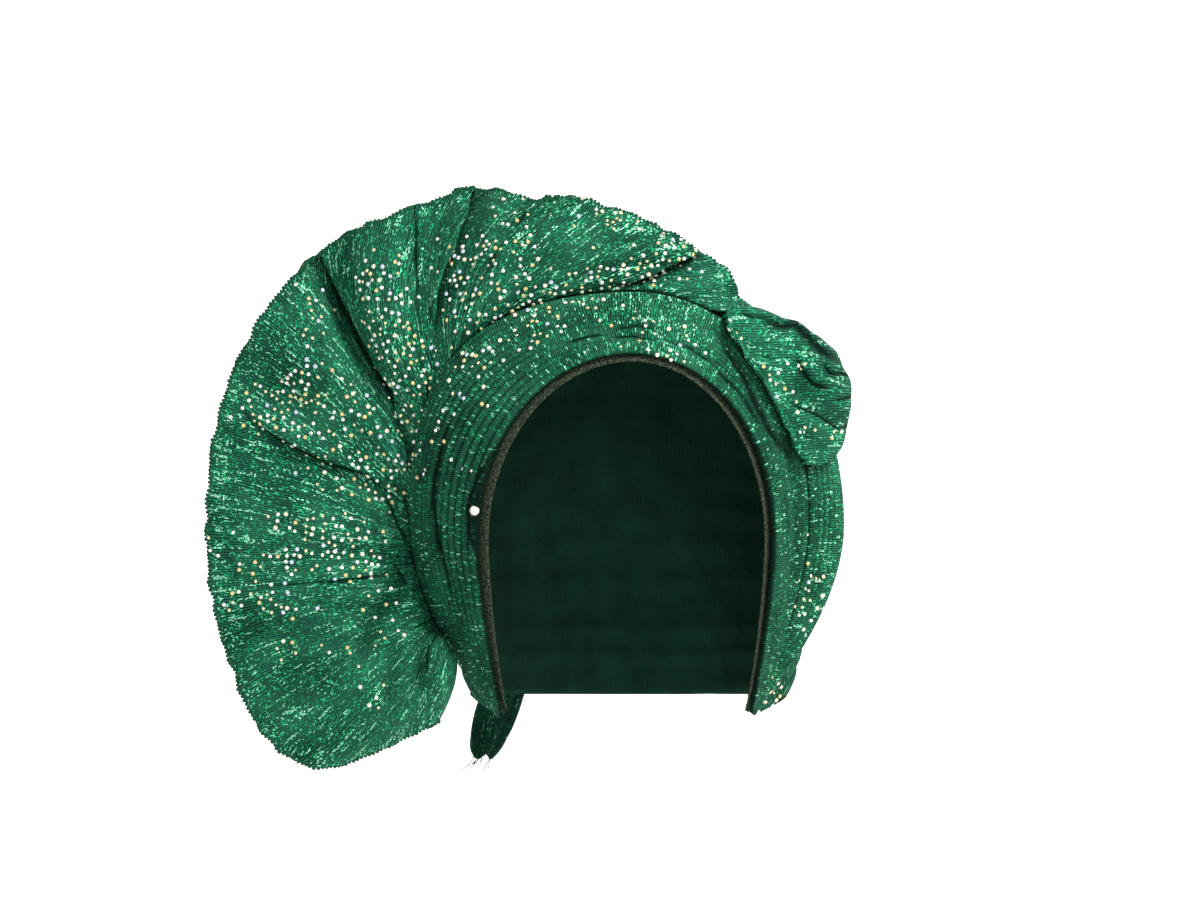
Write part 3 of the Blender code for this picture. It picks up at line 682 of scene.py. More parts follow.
pleat_finish = ribbed_lurex("ribbed_lurex_pleats", "#03261B", "#2D7053", 0.0010, glitter=-0.14)
fan_finish = ribbed_lurex("ribbed_lurex_fan", "#03291D", "#2B6B52", 0.0013, rim=0.009, glitter=-0.06)
rosette_finish = ribbed_lurex("ribbed_lurex_rosette", "#06382A", "#2D7255", 0.0011, glitter=-0.06)
print("cloth finishes:", pleat_finish.name, fan_finish.name, rosette_finish.name)

# %% Wrong side of the cloth
# The inside has the same ribs, wider apart and flatter, and hardly any lurex.
WRONG_SIDE_PITCH = 0.0014

wrong_side, tree, shader = new_material(
    "lurex_wrong_side", Roughness=0.85, Sheen_Weight=0.03, Specular_IOR_Level=0.1
)
uv = weave_place(tree)
parts = add(tree, "ShaderNodeSeparateXYZ", Vector=uv)
rib = calc(tree, "SINE", calc(tree, "MULTIPLY", parts.outputs["X"], 2 * math.pi / WRONG_SIDE_PITCH))
# The ribs make the grooves a little darker, as painted shade, over soft clouds of tone.
blend = calc(tree, "MULTIPLY_ADD", rib, 0.15, noise(tree, uv, 60.0, 5.0))
wire(
    tree, shader, Base_Color=mixed(tree, blend, "#041A12", "#143F2F"), Normal=raised(tree, rib, 0.5, 0.0002)
)

# %% [markdown]
# ## Organza, crystal, pearl and steel
#
# The edge strip is organza: open threads in an olive tone, so it is matt with a fine square
# grid. The stones are glass with a foiled back, which makes them as bright as metal; a number
# stored on each stone picks clear, champagne or lavender. The pin has an imitation pearl, whose
# lacquer is smooth under a soft coat, and a steel shank. Loose threads and rim beads are matt green.

# %% Organza
THREAD_PITCH = 0.0008

organza_finish, tree, shader = new_material(
    "sheer_organza", Roughness=0.85, Sheen_Weight=0.03, Specular_IOR_Level=0.08
)
uv = weave_place(tree)
pace = (2 * math.pi / THREAD_PITCH,) * 3
threads = add(tree, "ShaderNodeVectorMath", {"operation": "MULTIPLY", "1": pace}, i0=uv)
threads = add(tree, "ShaderNodeVectorMath", {"operation": "SINE"}, i0=threads.outputs[0])
axes = add(tree, "ShaderNodeSeparateXYZ", Vector=threads.outputs[0]).outputs
open_weave = calc(tree, "MAXIMUM", axes[0], axes[1])
mottle = ranged(tree, noise(tree, uv, 900.0, 3.0, Roughness=0.7), 0.42, 0.66, -0.1, 0.8)
blend = calc(tree, "MULTIPLY_ADD", open_weave, 0.20, mottle, clamp=True)
wire(
    tree, shader, Base_Color=mixed(tree, blend, "#0A140D", "#5A6450"),
    Normal=raised(tree, open_weave, 0.5, 0.00012),
)

# %% Crystal
STONE_COLOURS = (
    # from this number on, colour
    (0.0, "#F1E4B8"), (0.36, "#FFFDF6"), (0.70, "#E8D596"), (0.84, "#D2DCEE"), (0.90, "#FBF4DA"),
)

crystal_finish, tree, shader = new_material(
    "foiled_crystal", Roughness=0.15, Metallic=0.35, Coat_Weight=0.6
)
tint = add(tree, "ShaderNodeAttribute", {"attribute_name": "stone_tint"})
ramp = add(tree, "ShaderNodeValToRGB", i0=tint.outputs["Fac"])
ramp.color_ramp.interpolation = "CONSTANT"
while len(ramp.color_ramp.elements) < len(STONE_COLOURS):
    ramp.color_ramp.elements.new(0.5)
for stop, (position, code) in zip(ramp.color_ramp.elements, STONE_COLOURS):
    stop.position = position
    stop.color = linear(code)
wire(tree, shader, Base_Color=ramp.outputs["Color"])

# %% Pearl, steel and thread
pearl_finish, tree, shader = new_material(
    "pearl_lacquer", Roughness=0.22, Coat_Weight=0.7, Coat_Roughness=0.08, Sheen_Weight=0.2
)
bloom = noise(tree, object_place(tree), 320.0, 2.0)
wire(tree, shader, Base_Color=mixed(tree, bloom, "#E9DFC8", "#F7F1EA"))

steel_finish, tree, shader = new_material("pin_steel", Metallic=1.0, Base_Color=linear("#C8C9CB"))
drawn = noise(tree, object_place(tree), 900.0, 2.0)
wire(tree, shader, Roughness=ranged(tree, drawn, 0.0, 1.0, 0.18, 0.36))

thread_finish, tree, shader = new_material(
    "green_thread", Roughness=0.7, Sheen_Weight=0.05, Specular_IOR_Level=0.15
)
twist = noise(tree, object_place(tree), 1400.0, 2.0)
wire(tree, shader, Base_Color=mixed(tree, twist, "#02180F", "#12633F"))
print("small finishes:", crystal_finish.name, pearl_finish.name, steel_finish.name, thread_finish.name)

# %% [markdown]
# ## The wrap over the head
#
# The cloth's second turn covers the head in flat folds that are gathered at the jaw. They are
# close together beside the face and wider apart towards the back. Folds are a rounded wave across
# the stations, uneven from one to the next, because hands laid them. A cloth's painted_light says
# how deep in a fold each point lies, and its finish paints shade there; above 1 it paints more
# glints.

# %% Head wrap
WRAP_WALL = 0.0016
WRAP_RIB = 0.0012
SEAT_GAP = 0.0004
WRAP_FOLDS = 30
BACK_DEPTH = 0.9
WRAP_START, WRAP_END = 0.200, 1.0
FOLD_SPREAD = 1.5
# How much painted shade darkens the hollows of folds and creases.
HOLLOW_SHADE = 0.95

wrap_run = np.linspace(0, 1, WRAP_FOLDS * 7 + 1)[:, None]
wrap_turn = np.linspace(-1, 1, 181)[None, :]
wrap_station = WRAP_START + (WRAP_END - WRAP_START) * wrap_run**FOLD_SPREAD
fold_phase = wrap_run * WRAP_FOLDS + 0.16 * wavy(wrap_turn, 1.3, 5) + 0.3 * wavy(wrap_run, 9, 6)
wrap_ridge = np.abs(np.sin(math.pi * fold_phase)) ** 0.7
behind_fan = np.clip((wrap_station - 0.29) / 0.08, 0, 1)
wrap_height = WRAP_RIB * (0.75 + 0.25 * wavy(wrap_run, 17, 7)) * (1 + BACK_DEPTH * behind_fan)
wrap_height = wrap_height * foot_fade(wrap_turn)
wrap_lift = WRAP_WALL / 2 + wrap_height * wrap_ridge
wrap_points = on_head(wrap_station, wrap_turn, wrap_lift)
# Only the front of the wrap has a sharp fold. Painted shade darkens the valleys between its folds,
# most steeply at the front, and a painted glint lifts its ridges.
wrap_hollow = sharp_folds("wrap", wrap_points)[1] * np.clip((0.36 - wrap_station) / 0.06, 0, 1)
wrap_painted_light = 1.14 * wrap_ridge ** (2.2 - 1.1 * behind_fan) * (1 - HOLLOW_SHADE * wrap_hollow)
wrap_u = grid_lengths(wrap_points, 1)[wrap_points.shape[0] // 2]
wrap_v = grid_lengths(wrap_points, 0)
wrap_cloth = cloth_from_grid(
    "wrap_cloth", wrap_points, wrap_u, wrap_v, WRAP_WALL, pleat_finish, wrong_side, wrap_painted_light
)
wrap_outside = tree_of(on_head(wrap_station, wrap_turn, wrap_lift + WRAP_WALL / 2)[::3, ::3])
print("wrap:", wrap_points.shape[:2], "points")

# %% [markdown]
# ## The pleated band
#
# The first turn is laid in narrow pleats over the brow. At the side they stand up like cords, and
# over the brow they lie flatter. The woven ribs cross the pleats, so U follows the arch here.

# %% Brow band
BAND_WALL = 0.0015
PLEAT_DEPTH = 0.0024
PLEATS = 13
HEM_STATION, BAND_END = 0.018, 0.250
BAND_FLOOR = WRAP_WALL + WRAP_RIB + SEAT_GAP
VALLEY_DROP = 0.0024
# The pleats lie flat over the brow: round this turn, and this far to each side.
LIE_TURN, LIE_REACH = 0.06, 0.55

band_run = np.linspace(0, 1, PLEATS * 17 + 1)[:, None]
band_turn = np.linspace(-1, 1, 221)[None, :]
band_station = HEM_STATION + (BAND_END - HEM_STATION) * band_run
lie = np.clip(1 - np.abs(band_turn - LIE_TURN) / LIE_REACH, 0, 1)
lie = lie * lie * (3 - 2 * lie)
pleat_phase = band_run * PLEATS + 0.30 * np.sin(math.pi * band_run) * wavy(band_turn, 1.2, 11)
pleat_phase = pleat_phase + 0.10 * np.sin(2 * math.pi * pleat_phase)
pleat = np.abs(np.sin(math.pi * pleat_phase)) ** 0.75
fine_pleat = np.abs(np.sin(2 * math.pi * pleat_phase + 2.4 * band_turn)) ** 0.5
pleat = pleat * (1 - 0.35 * lie) + 0.25 * lie * fine_pleat
# Valleys may sink where neither the sheer edge nor the wrap lies below.
free = np.clip((band_station - 0.050) / 0.02, 0, 1) * np.clip((0.185 - band_station) / 0.02, 0, 1)
valley = VALLEY_DROP * free * (1 - pleat) * (1 - 0.6 * lie)
band_lift = BAND_FLOOR + BAND_WALL / 2 + (PLEAT_DEPTH * pleat - valley) * foot_fade(band_turn)
band_forward, band_hollow = sharp_folds("band", on_head(band_station, band_turn, band_lift))
band_lift = band_lift + np.clip(band_forward, -VALLEY_DROP * free, 0.001)
band_points = on_head(band_station, band_turn, band_lift)
band_u = grid_lengths(band_points, 1)[band_points.shape[0] // 2]
band_v = grid_lengths(band_points, 0)
# Painted shade in the pleats' valleys and the folds' hollows, and painted glint on the flat pleats over the
# brow.
band_painted_light = pleat ** (3.6 - 2.2 * lie) * (0.78 + 0.76 * lie) * (1 - HOLLOW_SHADE * band_hollow)
band_cloth = cloth_from_grid(
    "band_cloth", band_points, band_u, band_v, BAND_WALL, pleat_finish, wrong_side, band_painted_light
)
band_outside = tree_of(on_head(band_station, band_turn, band_lift + BAND_WALL / 2)[::3, ::3])
print("band:", band_points.shape[:2], "points")

# %% [markdown]
# ## The sheer edge
#
# The cloth ends in a narrow strip without ribs, which lies against the face inside the first pleat. It
# is thin organza, held by a row of ladder stitches. The strip is a plain narrow grid. Its
# stitches repeat along a path, so Geometry Nodes lay them further below.

# %% Sheer edge
EDGE_WALL = 0.0007
EDGE_START, EDGE_END = 0.0, 0.046
EDGE_WAVE = 0.00022
STITCH_ROW = 5

edge_station = np.linspace(EDGE_START, EDGE_END, 9)[:, None]
edge_turn = np.linspace(-1, 1, 361)[None, :]
edge_wave = EDGE_WAVE * wavy(edge_turn, 34, 21) * (1 - edge_station / EDGE_END)
edge_points = on_head(edge_station, edge_turn, BAND_FLOOR - SEAT_GAP - EDGE_WALL + edge_wave)
edge_u = grid_lengths(edge_points, 1)[4]
edge_strip = cloth_from_grid(
    "sheer_strip", edge_points, edge_u, grid_lengths(edge_points, 0), EDGE_WALL, organza_finish
)
print("sheer edge:", round(float(edge_u[-1]), 3), "m long")

# %% [markdown]
# ## The fan
#
# Above the band the stiff cloth stands free. Its ribs start in gathers at the band and spread to a
# ruffled rim. A table of its main ribs gives the outline, and a curve bends each from root to
# rim. At a deep crease one panel lies over the next: stations are drawn back there, so that the
# grid really doubles over, with a lip standing forward. Gathers, ruffles and uneven waves follow.

# %% Sizes of the fan
FAN_WALL = 0.0014
FAN_REACH = 0.095
FAN_DEPTH = 0.060
FAN_ROOT = 0.275
RUFFLES = 20
RUFFLE_DEPTH = 0.0022
GATHERS = 58
GATHER_DEPTH = 0.0016
SWAY_DEPTH = 0.0020
RIM_WAVE = 0.011

FAN_COLUMN_NAMES = (
    "station", "root", "knee_angle", "knee_reach", "knee_front", "tip_angle", "tip_reach", "tip_front",
)
FAN_RIBS = (
    # free end beside the jaw
    (0.000, -0.875, -130.0, 0.02, 0.40, -136.0, 0.225, 0.30),
    # right of the low corner
    (0.045, -0.870, -128.0, 0.12, 0.62, -133.2, 0.43, 0.42),
    # low corner
    (0.100, -0.862, -124.7, 0.26, 0.76, -128.7, 0.765, 0.55),
    # left of the low corner
    (0.160, -0.850, -117.5, 0.34, 0.74, -121.0, 0.925, 0.48),
    # lowest part of the side
    (0.225, -0.820, -108.4, 0.37, 0.58, -109.3, 0.955, 0.34),
    # middle of the side
    (0.325, -0.750, -93.6, 0.44, 0.62, -91.3, 0.945, 0.46),
    # long crease on the side
    (0.410, -0.680, -77.0, 0.44, 0.48, -73.8, 0.935, 0.30),
    # upper side
    (0.480, -0.590, -63.1, 0.44, 0.60, -59.2, 0.86, 0.46),
    # deep crease at the upper left
    (0.550, -0.520, -55.6, 0.42, 0.42, -46.9, 0.78, 0.26),
    # gore with the densest stones
    (0.590, -0.470, -52.3, 0.38, 0.70, -40.0, 0.70, 0.58),
    # before the second deep crease
    (0.640, -0.400, -43.1, 0.34, 0.68, -31.4, 0.64, 0.52),
    # second deep crease
    (0.675, -0.370, -39.1, 0.37, 0.56, -26.3, 0.635, 0.34),
    # notch in the rim
    (0.740, -0.330, -30.3, 0.30, 0.82, -16.7, 0.485, 0.62),
    # top gore
    (0.790, -0.310, -27.2, 0.26, 0.82, -12.0, 0.48, 0.54),
    # long soft valley
    (0.865, -0.240, -12.7, 0.17, 0.93, 1.7, 0.35, 0.74),
    # last gore
    (0.930, -0.075, 2.6, 0.12, 0.97, 14.0, 0.25, 0.74),
    # its outer corner
    (0.970, 0.060, 15.0, 0.10, 0.95, 22.4, 0.205, 0.70),
    # end under the rosette
    (1.000, 0.165, 22.5, 0.04, 0.92, 27.7, 0.090, 0.66),
)

# %% Creases of the fan
# Where over is 1, the side of higher stations lies over the other. Places are millimetres from the
# front, from the root to the rim.
CREASE_COLUMN_NAMES = ("over", "depth", "width", "from_share", "to_share", "places")
CREASES = (
    # short crease on the side
    (1, 0.04, 0.014, 0.05, 0.60, ((-106, -131), (-130, -134), (-160, -136))),
    # long crease on the side
    (
        1, 0.045, 0.014, 0.02, 0.95,
        ((-103, -97), (-117, -87), (-133, -82), (-146, -76), (-157, -70), (-172, -59)),
    ),
    # deep crease at the upper left
    (
        1, 0.13, 0.022, 0.02, 1.30,
        ((-102, -62), (-104, -50), (-110, -42), (-117, -28), (-124, -13), (-136, 11)),
    ),
    # fold at the rim
    (1, 0.04, 0.018, 0.45, 1.40, ((-93, -2), (-94, 15), (-95, 33))),
    # second deep crease
    (
        -1, 0.08, 0.014, 0.05, 1.30,
        ((-85.5, -41), (-86.2, -18), (-83.6, -1), (-78, 12), (-72.6, 27), (-70.8, 37)),
    ),
    # notch in the rim
    (1, 0.06, 0.020, 0.40, 1.40, ((-62, 0), (-57.6, 11), (-48.8, 21), (-41.4, 32))),
    # long soft valley
    (-1, 0.08, 0.026, 0.05, 1.20, ((-44, -24), (-31, -17), (-13.6, -11), (8.4, 0), (30, 11))),
)
# How strongly stations are drawn back at a crease, and how deep its hollow is.
OVERLAP = 4.6
GUTTER = 0.9


def crease_stations(places, share):
    """Stations at which a crease through places runs, at each share of the way out."""
    seen = from_front(plain_fan)
    gaps = [np.linalg.norm(seen - np.array(place), axis=-1) for place in places]
    rows, columns = np.unravel_index([gap.argmin() for gap in gaps], plain_fan.shape[:2])
    order = np.argsort(rows)
    return np.interp(share, fan_share[rows[order], 0], fan_station[0, columns[order]])


def crease_moves(station, share):
    """How far creases move the cloth forward and draw stations back, and how deep in a hollow it is, for
    painted shade.
    """
    forward = np.zeros(np.broadcast(station, share).shape)
    back = np.zeros_like(forward)
    hollow = np.zeros_like(forward)
    for values in CREASES:
        row = dict(zip(CREASE_COLUMN_NAMES, values))
        q = (station - crease_stations(row["places"], share)) / row["width"]
        start = np.clip((share - row["from_share"]) / 0.2, 0, 1)
        end = np.clip((row["to_share"] - share) / 0.3, 0, 1)
        part = np.minimum(start, end)
        forward = forward + row["over"] * row["depth"] * np.tanh(5 * q) * np.exp(-np.abs(q)) * part
        drawn = OVERLAP * row["depth"] * part
        back = back + drawn * row["width"] * np.sin(math.pi * np.clip(q, -1, 1))
        # The hollow lies where the lower cloth comes out from under the lip: it dips, and gets painted shade.
        out_at = 0.25 + 1.2 * np.clip(drawn - 0.28, 0, 1)
        under = row["over"] * q + out_at
        gutter = np.exp(-((under / 0.28) ** 2)) * part
        forward = forward - GUTTER * row["depth"] * gutter
        strength = min(1.0, row["depth"] / 0.08)
        hollow = np.maximum(hollow, strength * part * np.exp(-((under / 0.16) ** 2)))
        hollow = np.maximum(hollow, 0.4 * strength * part * np.exp(-(((under + 0.2) / 0.5) ** 2)))
    return forward * FAN_DEPTH, back, hollow


# %% Swells of the fan
SWELL_COLUMN_NAMES = ("station", "share", "half_station", "half_share", "forward")
SWELLS = (
    # roll beside the jaw
    (0.085, 0.24, 0.045, 0.16, 0.14),
    (0.150, 0.55, 0.040, 0.30, 0.06),
    # panels of the side
    (0.245, 0.50, 0.035, 0.35, 0.05),
    (0.350, 0.55, 0.045, 0.35, 0.06),
    (0.480, 0.55, 0.050, 0.35, 0.07),
    # panels of the top
    (0.596, 0.60, 0.022, 0.40, 0.06),
    (0.710, 0.62, 0.025, 0.35, 0.07),
    (0.800, 0.55, 0.030, 0.35, 0.08),
    (0.884, 0.60, 0.020, 0.35, 0.05),
)


def swell_forward(station, share):
    """How far the panels between the creases belly forward."""
    forward = np.zeros(np.broadcast(station, share).shape)
    for values in SWELLS:
        row = dict(zip(SWELL_COLUMN_NAMES, values))
        near = ((station - row["station"]) / row["half_station"]) ** 2
        near = near + ((share - row["share"]) / row["half_share"]) ** 2
        forward = forward + row["forward"] * np.exp(-near)
    return forward * FAN_DEPTH


# %% Points of the fan
def brow_radius(angle):
    """How far the brow band's outer edge is from the middle of the face, seen from the front."""
    edge = on_head(BAND_END, np.linspace(-1, 1, 241), BAND_FLOOR + BAND_WALL)
    across, up = edge[:, 0], edge[:, 2] + FACE_MIDDLE * HEAD_HEIGHT
    return np.interp(angle, np.degrees(np.arctan2(across, up)), np.hypot(across, up))


def fan_place(angle, reach, front):
    """A point from its angle round the face, its reach past the brow band and its depth."""
    radius = brow_radius(angle) + reach * FAN_REACH
    turn = np.radians(angle)
    height = radius * np.cos(turn) - FACE_MIDDLE * HEAD_HEIGHT
    return np.stack([radius * np.sin(turn), -front * FAN_DEPTH, height], -1)


def fan_plain(station, share):
    """The middle of the fan's cloth without its folds. share runs from 0 at the root to 1 at the rim."""
    row = smooth_columns(FAN_COLUMN_NAMES, FAN_RIBS, station)
    root = on_head(FAN_ROOT, row["root"], WRAP_WALL + WRAP_RIB + 2 * SEAT_GAP + FAN_WALL / 2)
    knee = fan_place(row["knee_angle"], row["knee_reach"], row["knee_front"])
    tip = fan_place(row["tip_angle"], row["tip_reach"] + RIM_WAVE * wavy(station, 34, 36), row["tip_front"])
    control = 2 * knee - (root + tip) / 2
    v = share[..., None]
    return (1 - v) ** 2 * root + 2 * v * (1 - v) * control + v**2 * tip


def fan_ruffles(station, share):
    """How far the even ruffles, gathers and waves stand forward."""
    ruffle = RUFFLE_DEPTH * np.sin(2 * math.pi * RUFFLES * station + 1.3 * wavy(station, 5, 31)) * share**2
    ruffle = ruffle + 0.5 * RUFFLE_DEPTH * wavy(station, 52, 32) * share**3
    near_root = np.clip(1 - share / 0.55, 0, 1) * np.clip(share / 0.1, 0, 1)
    gather = GATHER_DEPTH * wavy(station, GATHERS, 33) * near_root
    sway = SWAY_DEPTH * wavy(station + 0.03 * np.sin(5 * share), 15, 34) * np.sin(math.pi * share)
    return ruffle + gather + sway


# %% Fan cloth
fan_station = np.linspace(0, 1, 661)[None, :]
fan_share = np.linspace(0, 1, 69)[:, None] ** 1.15
station, share = np.broadcast_arrays(fan_station, fan_share)
plain_fan = fan_plain(station, share)
crease_forward, drawn_back, crease_hollow = crease_moves(station, share)
fan_points = fan_plain(station - drawn_back, share)
fold_forward, fold_hollow = sharp_folds("fan", fan_points)
fade = np.clip(share / 0.12, 0, 1)
fan_points[..., 1] -= (crease_forward + swell_forward(station, share) + fold_forward) * fade
fan_points[..., 1] -= fan_ruffles(station, share)
fan_points[1:] = lifted_off(fan_points[1:], [wrap_outside, band_outside], SEAT_GAP + 1.2 * FAN_WALL)
fan_u = grid_lengths(fan_points, 1)[-1]
fan_v = grid_lengths(fan_points, 0)
fan_v = fan_v - fan_v[-1:]
# Painted shade in the hollows of the creases and the sharp folds.
fan_painted_light = (1 - HOLLOW_SHADE * crease_hollow) * (1 - HOLLOW_SHADE * fold_hollow)
# Painted shade at the root, most of all down the side, where the ruffles stand over it.
root_shade = 0.25 + 0.55 * np.clip((0.50 - fan_station) / 0.15, 0, 1)
fan_painted_light = fan_painted_light * (1 - root_shade * np.exp(-fan_share / 0.05))
fan_cloth = cloth_from_grid("fan_cloth", fan_points, fan_u, fan_v, FAN_WALL, fan_finish, None, fan_painted_light)
print("fan rim:", round(float(fan_u[-1]), 3), "m of cloth")

# %% [markdown]
# ## The rosette
#
# The cloth's other end is folded forward over the temple into a puffed rosette. Its grid is
# polar: rings run from its middle to its outline, then turn under. Soft strokes dent and raise
# that puff, and sharp folds break it, as the tables say.

# %% Sizes of the rosette
ROSETTE_WALL = 0.0014
ROSETTE_WIDTH = 0.061
ROSETTE_HEIGHT = 0.066
ROSETTE_PUFF = 0.020
HEM_LIFT = 0.0045
HEM_DEPTH = 0.0036
ROSETTE_SIDE = 0.745
ROSETTE_DROP = 0.262
ROSETTE_OUTWARD = (0.446, -0.862, 0.240)
ROSETTE_LEAN = 0.45
ROSETTE_TILT = -0.25

ROSETTE_COLUMN_NAMES = ("angle", "reach", "skirt")
ROSETTE_OUTLINE = (
    (-178.0, 1.06, 0.0),
    (-160.0, 0.80, 0.0),
    (-135.0, 0.64, 0.0),
    (-110.0, 0.62, 0.0),
    (-84.0, 0.74, 0.0),
    (-65.0, 1.00, 0.0),
    (-54.0, 1.28, 0.2),
    (-42.0, 1.30, 0.8),
    (-16.0, 0.98, 1.0),
    (12.0, 0.80, 1.0),
    (40.0, 0.76, 1.0),
    (68.0, 0.80, 1.0),
    (92.0, 0.86, 1.0),
    (126.0, 0.98, 1.0),
    (147.0, 1.12, 0.9),
    (165.0, 1.08, 0.3),
)


# %% Clear of what is below
def met_along(point, trees, outward):
    """How far out along a direction the outermost surface below a point is, or None."""
    outward = Vector(outward)
    far = 2 * HEAD_DEPTH
    start = Vector(point) + outward * (far - Vector(point).dot(outward))
    hits = [tree.ray_cast(start, -outward, 2 * far)[3] for tree in trees]
    hits = [far - hit for hit in hits if hit is not None]
    return max(hits) if hits else None


def raised_clear(points, trees, outward, clearance):
    """Points moved along outward until they stand clear of all that is below them."""
    flat = points.reshape(-1, 3).copy()
    outward = np.array(outward, float)
    for i, p in enumerate(flat):
        met = met_along(p, trees, outward)
        if met is not None:
            flat[i] = p + outward * max(0.0, met + clearance - p @ outward)
    return flat.reshape(points.shape)


# %% Rosette cloth
turn_round = np.linspace(-180, 180, 261)
first, last = ROSETTE_OUTLINE[0], ROSETTE_OUTLINE[-1]
outline = ((last[0] - 360, *last[1:]), *ROSETTE_OUTLINE, (first[0] + 360, *first[1:]))
edge_row = smooth_columns(ROSETTE_COLUMN_NAMES, outline, turn_round)
edge_reach = edge_row["reach"] + 0.012 * np.sin(np.radians(turn_round * 9))
edge_reach = edge_reach + 0.008 * np.sin(np.radians(turn_round * 14))
edge_right = edge_reach * np.sin(np.radians(turn_round))
edge_up = edge_reach * np.cos(np.radians(turn_round))
skirt = np.clip(edge_row["skirt"], 0, 1)[:, None]
rosette_middle = np.array([ROSETTE_SIDE * HEAD_WIDTH / 2, 0, -ROSETTE_DROP * HEAD_HEIGHT])
rosette_middle[1] = -met_along(rosette_middle, [wrap_outside, band_outside], (0, -1, 0))

ring_share = (np.linspace(0, 1, 92) ** 0.8)[:, None]
across, above = edge_right * ring_share, edge_up * ring_share
puff = (1 - ring_share**2.4) ** 0.6
x, z = across * ROSETTE_WIDTH / 2, above * ROSETTE_HEIGHT / 2
y = ROSETTE_LEAN * x + ROSETTE_TILT * z - HEM_LIFT - puff * ROSETTE_PUFF
rings = rosette_middle + np.stack([x, y, z], -1)
rosette_forward, rosette_hollow = sharp_folds("rosette", rings)
rings[..., 1] -= rosette_forward * (1 - ring_share**7)

fan_outside = tree_of(fan_points[::4, ::4] - np.array([0, FAN_WALL, 0]))
below = [wrap_outside, band_outside, fan_outside]
clearance = 2 * SEAT_GAP + ROSETTE_WALL
rings = raised_clear(rings, below, ROSETTE_OUTWARD, clearance + HEM_DEPTH)
rim = rings[-1]
inward = (rim.mean(axis=0) - rim) * 0.10 * (1 - skirt)
under_share = np.linspace(0, 1, 15)[1:, None, None]
turned = HEM_DEPTH * np.sin(under_share * math.pi / 2) + 0.80 * ROSETTE_PUFF * skirt * under_share
under = rim + turned * np.array([0.0, 1.0, 0.0]) + inward * under_share**2
under = raised_clear(under, below, ROSETTE_OUTWARD, clearance)
rosette_points = np.concatenate([rings, under])

# The woven ribs run level across the upper half and curve down to the right.
full_x = np.concatenate([x, np.repeat(x[-1:], len(under), 0)])
full_z = np.concatenate([z, np.repeat(z[-1:], len(under), 0) - turned[..., 0]])
rosette_u = full_z + 5.0 * np.maximum(full_x, 0) ** 2 - 0.18 * full_x * (full_z < 0)
# Painted shade on the turned-under rim, deeper the further under it goes, and in the folds' hollows.
turned_hollow = np.linspace(0.3, 1, len(under))[:, None] * np.ones(len(turn_round))
rosette_painted_light = 1 - HOLLOW_SHADE * np.concatenate([rosette_hollow, turned_hollow])
rosette_cloth = cloth_from_grid(
    "rosette_cloth", rosette_points, rosette_u, full_x, ROSETTE_WALL, rosette_finish, None, rosette_painted_light
)
print("rosette:", rosette_points.shape[:2], "points")

# %% [markdown]
# ## Knot and tail
#
# Behind the neck the ends are tied, and one hangs below the knot. The tail is cloth folded
# lengthwise: its section is a star with soft points, and its raw end is round. The knot is the
# same folded cloth drawn tight, so its folds are shallow and slanting.

# %% Knot
KNOT_WIDTH = 0.034
KNOT_HEIGHT = 0.022
KNOT_DEPTH = 0.018
KNOT_SIDE = -0.56
KNOT_DROP = 0.845
# How much of its depth the knot's middle is behind the wrap.
KNOT_CLEAR = 0.62

knot_place = np.array([KNOT_SIDE * HEAD_WIDTH / 2, 0, -KNOT_DROP * HEAD_HEIGHT])
knot_place[1] = met_along(knot_place, [wrap_outside], (0, 1, 0)) + KNOT_DEPTH * KNOT_CLEAR
round_knot = np.linspace(0, 2 * math.pi, 145)[None, :]
knot_tilt = np.radians(np.linspace(-90, 90, 61))[:, None]
knot_folds = 1 + 0.08 * np.cos(4 * round_knot) + 0.035 * np.sin(11 * round_knot + 5 * knot_tilt)
knot_folds = knot_folds - 0.10 * np.exp(-((knot_tilt / 0.16) ** 2))
knot_wide = np.cos(knot_tilt) * knot_folds
knot_points = knot_place + np.stack(
    [
        np.broadcast_to(np.sin(knot_tilt) * KNOT_WIDTH / 2, knot_wide.shape),
        knot_wide * np.cos(round_knot) * KNOT_DEPTH / 2,
        knot_wide * np.sin(round_knot) * KNOT_HEIGHT / 2,
    ],
    -1,
)
knot_points = raised_clear(knot_points, [wrap_outside], (0, 1, 0), 2 * SEAT_GAP)
knot_u = grid_lengths(knot_points, 1)[knot_points.shape[0] // 2]
knot = cloth_from_grid(
    "nape_knot_cloth", knot_points, knot_u, grid_lengths(knot_points, 0), 0, pleat_finish
)
print("knot at", [round(float(c), 3) for c in knot_place])

# %% Tail
TAIL_LENGTH = 0.044
TAIL_WIDTH = 0.017
TAIL_THICKNESS = 0.011
TAIL_SWING = 0.016
TAIL_FORWARD = 0.010
TAIL_WALL = 0.0011
RAW_END_WAVE = 0.0012
# Painted shade over the whole tail, which hangs in the shade of the jaw.
TAIL_SHADE = 0.35

round_tail = np.linspace(0, 2 * math.pi, 181)[None, :]
tail_share = np.linspace(0, 1, 61)[:, None]
swell = 0.45 + 0.62 * np.sin(math.pi * np.minimum(tail_share * 1.25, 1) ** 0.8 / 1.35)
swell = swell * np.sqrt(1 - 0.80 * np.clip((tail_share - 0.70) / 0.30, 0, 1) ** 2)
tail_folds = 1 + 0.15 * np.cos(5 * round_tail + 0.6 * tail_share) + 0.07 * tail_share * np.sin(
    9 * round_tail - 3 * tail_share
)
knot_bottom = knot_points[..., 2].min()
tail_x = knot_place[0] - TAIL_SWING * tail_share**0.8
tail_x = tail_x + np.cos(round_tail) * tail_folds * swell * TAIL_WIDTH / 2
tail_y = knot_place[1] - TAIL_FORWARD * tail_share**2
tail_y = tail_y + np.sin(round_tail) * tail_folds * swell * TAIL_THICKNESS / 2
